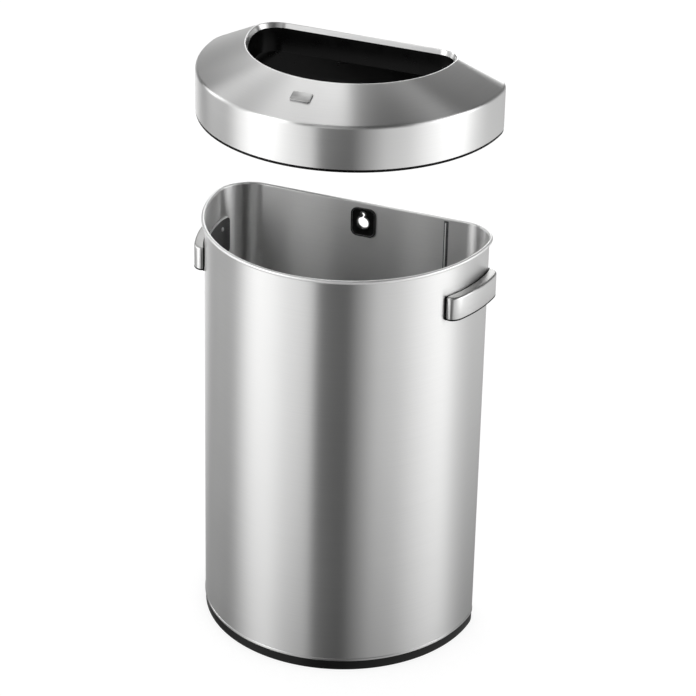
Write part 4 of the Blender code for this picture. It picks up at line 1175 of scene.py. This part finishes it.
def mirrored_panels(graph):
    """Brightness by direction: round the object within a tier, blended from tier to tier."""
    place = graph.add("TexCoord")
    split = graph.add("SeparateXYZ", {"Vector": place.outputs["Generated"]})
    front = graph.calculate("MULTIPLY", split.outputs["Y"], -1.0)
    turn = graph.calculate("ARCTAN2", split.outputs["X"], front)
    share = graph.ranged(turn, 0.0, 1.0, (-math.pi, math.pi))
    colour = graph.ramp(share, PANEL_TIERS[0][0])
    for (_, below), (panels, height) in zip(PANEL_TIERS, PANEL_TIERS[1:]):
        lift = graph.add("MapRange", {"Value": split.outputs["Z"], "From Min": below, "From Max": height})
        lift.interpolation_type = "SMOOTHSTEP"
        colour = graph.blend(lift, colour, graph.ramp(share, panels))
    return colour


def studio_world():
    """Plain light for diffuse surfaces, white for the camera, soft panels for what metal mirrors."""
    world = bpy.data.worlds.new("studio")
    bpy.context.scene.world = world
    world.use_nodes = True
    world.node_tree.nodes.clear()
    graph = Graph(world.node_tree)
    ray = graph.add("LightPath").outputs
    lit = graph.blend(ray["Is Glossy Ray"], grey(PLAIN_LEVEL), mirrored_panels(graph))
    seen = graph.blend(ray["Is Camera Ray"], lit, grey(WHITE_LEVEL))
    graph.add("OutputWorld", {"Surface": graph.add("Background", {"Color": seen})})


def studio_floor():
    """Pale floor that keeps the shadow, white to the camera, and clear to what metal mirrors, with painted
    shade near the bin's foot.
    """
    half = FLOOR_SIZE / 2
    corners = [(-half, -half, 0), (half, -half, 0), (half, half, 0), (-half, half, 0)]
    floor = add_object("studio_floor", new_mesh("studio_floor", corners, [(0, 1, 2, 3)]))
    material, graph, shader = new_material("floor_white")
    graph.nodes.remove(shader)
    ray = graph.add("LightPath").outputs
    shadowed = graph.add("BsdfDiffuse", {"Color": grey(FLOOR_GREY)})
    glow = graph.add("Emission", {"Color": grey(FLOOR_GLOW)})
    white = graph.add("AddShader", {0: shadowed, 1: glow})
    plain = graph.add("BsdfDiffuse", {"Color": grey(FLOOR_PLAIN)})
    seen = graph.add("MixShader", {"Fac": ray["Is Camera Ray"], 1: plain, 2: white})
    span = graph.add("VectorMath", {0: graph.add("TexCoord").outputs["Object"]})
    span.operation = "LENGTH"
    shade = graph.ranged(span.outputs["Value"], FOOT_SHADE, 1.0, FOOT_SHADE_REACH)
    clear = graph.add("BsdfTransparent", {"Color": shade})
    surface = graph.add("MixShader", {"Fac": ray["Is Glossy Ray"], 1: seen, 2: clear})
    graph.fill(graph.nodes["Material Output"], {"Surface": surface})
    floor.data.materials.append(material)


def photo_camera():
    azimuth, elevation, roll = (math.radians(v) for v in (CAMERA_AZIMUTH, CAMERA_ELEVATION, CAMERA_ROLL))
    level = math.cos(elevation)
    back = Vector((math.sin(azimuth) * level, -math.cos(azimuth) * level, math.sin(elevation)))
    across = Vector((0, 0, 1)).cross(back).normalized()
    up = back.cross(across)
    right = across * math.cos(roll) + up * math.sin(roll)
    up = -across * math.sin(roll) + up * math.cos(roll)
    data = bpy.data.cameras.new("photo_camera")
    data.sensor_width = SENSOR_MM
    data.lens = CAMERA_FOCAL_PIXELS * SENSOR_MM / IMAGE_PIXELS
    camera = add_object("photo_camera", data)
    eye = Vector(CAMERA_TARGET) + back * CAMERA_DISTANCE
    turn = Matrix((right, up, back)).transposed().to_4x4()
    camera.matrix_world = Matrix.Translation(eye) @ turn
    bpy.context.scene.camera = camera


def make_looks():
    """Materials by use: darkest and lightest tone, the steels' tint, roughness, its spread and the rest."""
    return {
        "steel": brushed("steel_wrap", 0.76, 0.80, WARM, 0.31, 0.012, 0.95, True, SHEET_GRAIN),
        "inside": brushed("steel_inside", 0.78, 0.82, WARM, 0.375, 0.012, 1.0, True, SHEET_GRAIN),
        # Brighter steel on the rim's bead, the lid's crest and the plates' edges: a painted highlight
        "edge": brushed("steel_edge_painted_highlight", 0.90, 0.94, WARM, 0.50, 0.01, 0.0, True, SHEET_GRAIN),
        "trim": brushed("steel_trim", 0.76, 0.80, WARM, 0.31, 0.02, 0.9),
        # Dark steel of the backing plates; also painted shade on the lap seam and the badge's sides
        "plate": brushed("steel_plate_and_painted_shade", 0.20, 0.28, COOL, 0.34, 0.03, 0.2),
        "badge": brushed("steel_badge", 0.55, 0.63, WARM, 0.40, 0.03, 0.3),
        # Darker steel for the handles' tops: a painted dark reflection
        "top": brushed("steel_top_painted_shade", 0.46, 0.54, WARM, 0.40, 0.03, 0.3),
        "screw": brushed("steel_screw", 0.84, 0.90, NEUTRAL, 0.44, 0.03, 0.0, False, SCREW_GRAIN),
        "plastic": moulded("plastic_black", 0.003, 0.006, 0.36, 0.05, 0.35),
        "deep": moulded("plastic_deep", 0.0012, 0.0025, 0.30, 0.05, 0.1),
        "gloss": moulded("plastic_gloss", 0.003, 0.005, 0.24, 0.04, 0.4),
        # Lighter plastic on the bracket's rounded edges: a painted highlight
        "highlight_plastic": moulded("plastic_painted_highlight", 0.08, 0.14, 0.30, 0.04, 0.6),
    }


def build_bin(looks):
    body_wrap(looks["steel"], looks["inside"], looks["edge"])
    lap_seam(looks["plate"], looks["inside"])
    base_ring(looks["plastic"])
    floor_pan(looks["inside"])
    floor_screws(looks["screw"])
    wall_bracket(looks["gloss"], looks["highlight_plastic"])
    bracket_retainer(looks["gloss"])
    for word, side in (("left", -1), ("right", 1)):
        handle_cover(word, side, looks["trim"], looks["top"])
        handle_core(word, side, looks["deep"])
        backing_plate(word, side, looks["plate"], looks["edge"])
        handle_screws(word, side, looks["screw"])


def build_lid(looks):
    lid_skin(looks["steel"], looks["edge"])
    lid_frame(looks["deep"])
    throat(looks["deep"])
    lid_screws(looks["screw"])
    badge(looks["badge"], looks["plate"])


LOOKS = make_looks()
build_bin(LOOKS)
build_lid(LOOKS)
studio_world()
studio_floor()
photo_camera()
bpy.context.scene.view_settings.view_transform = "Standard"
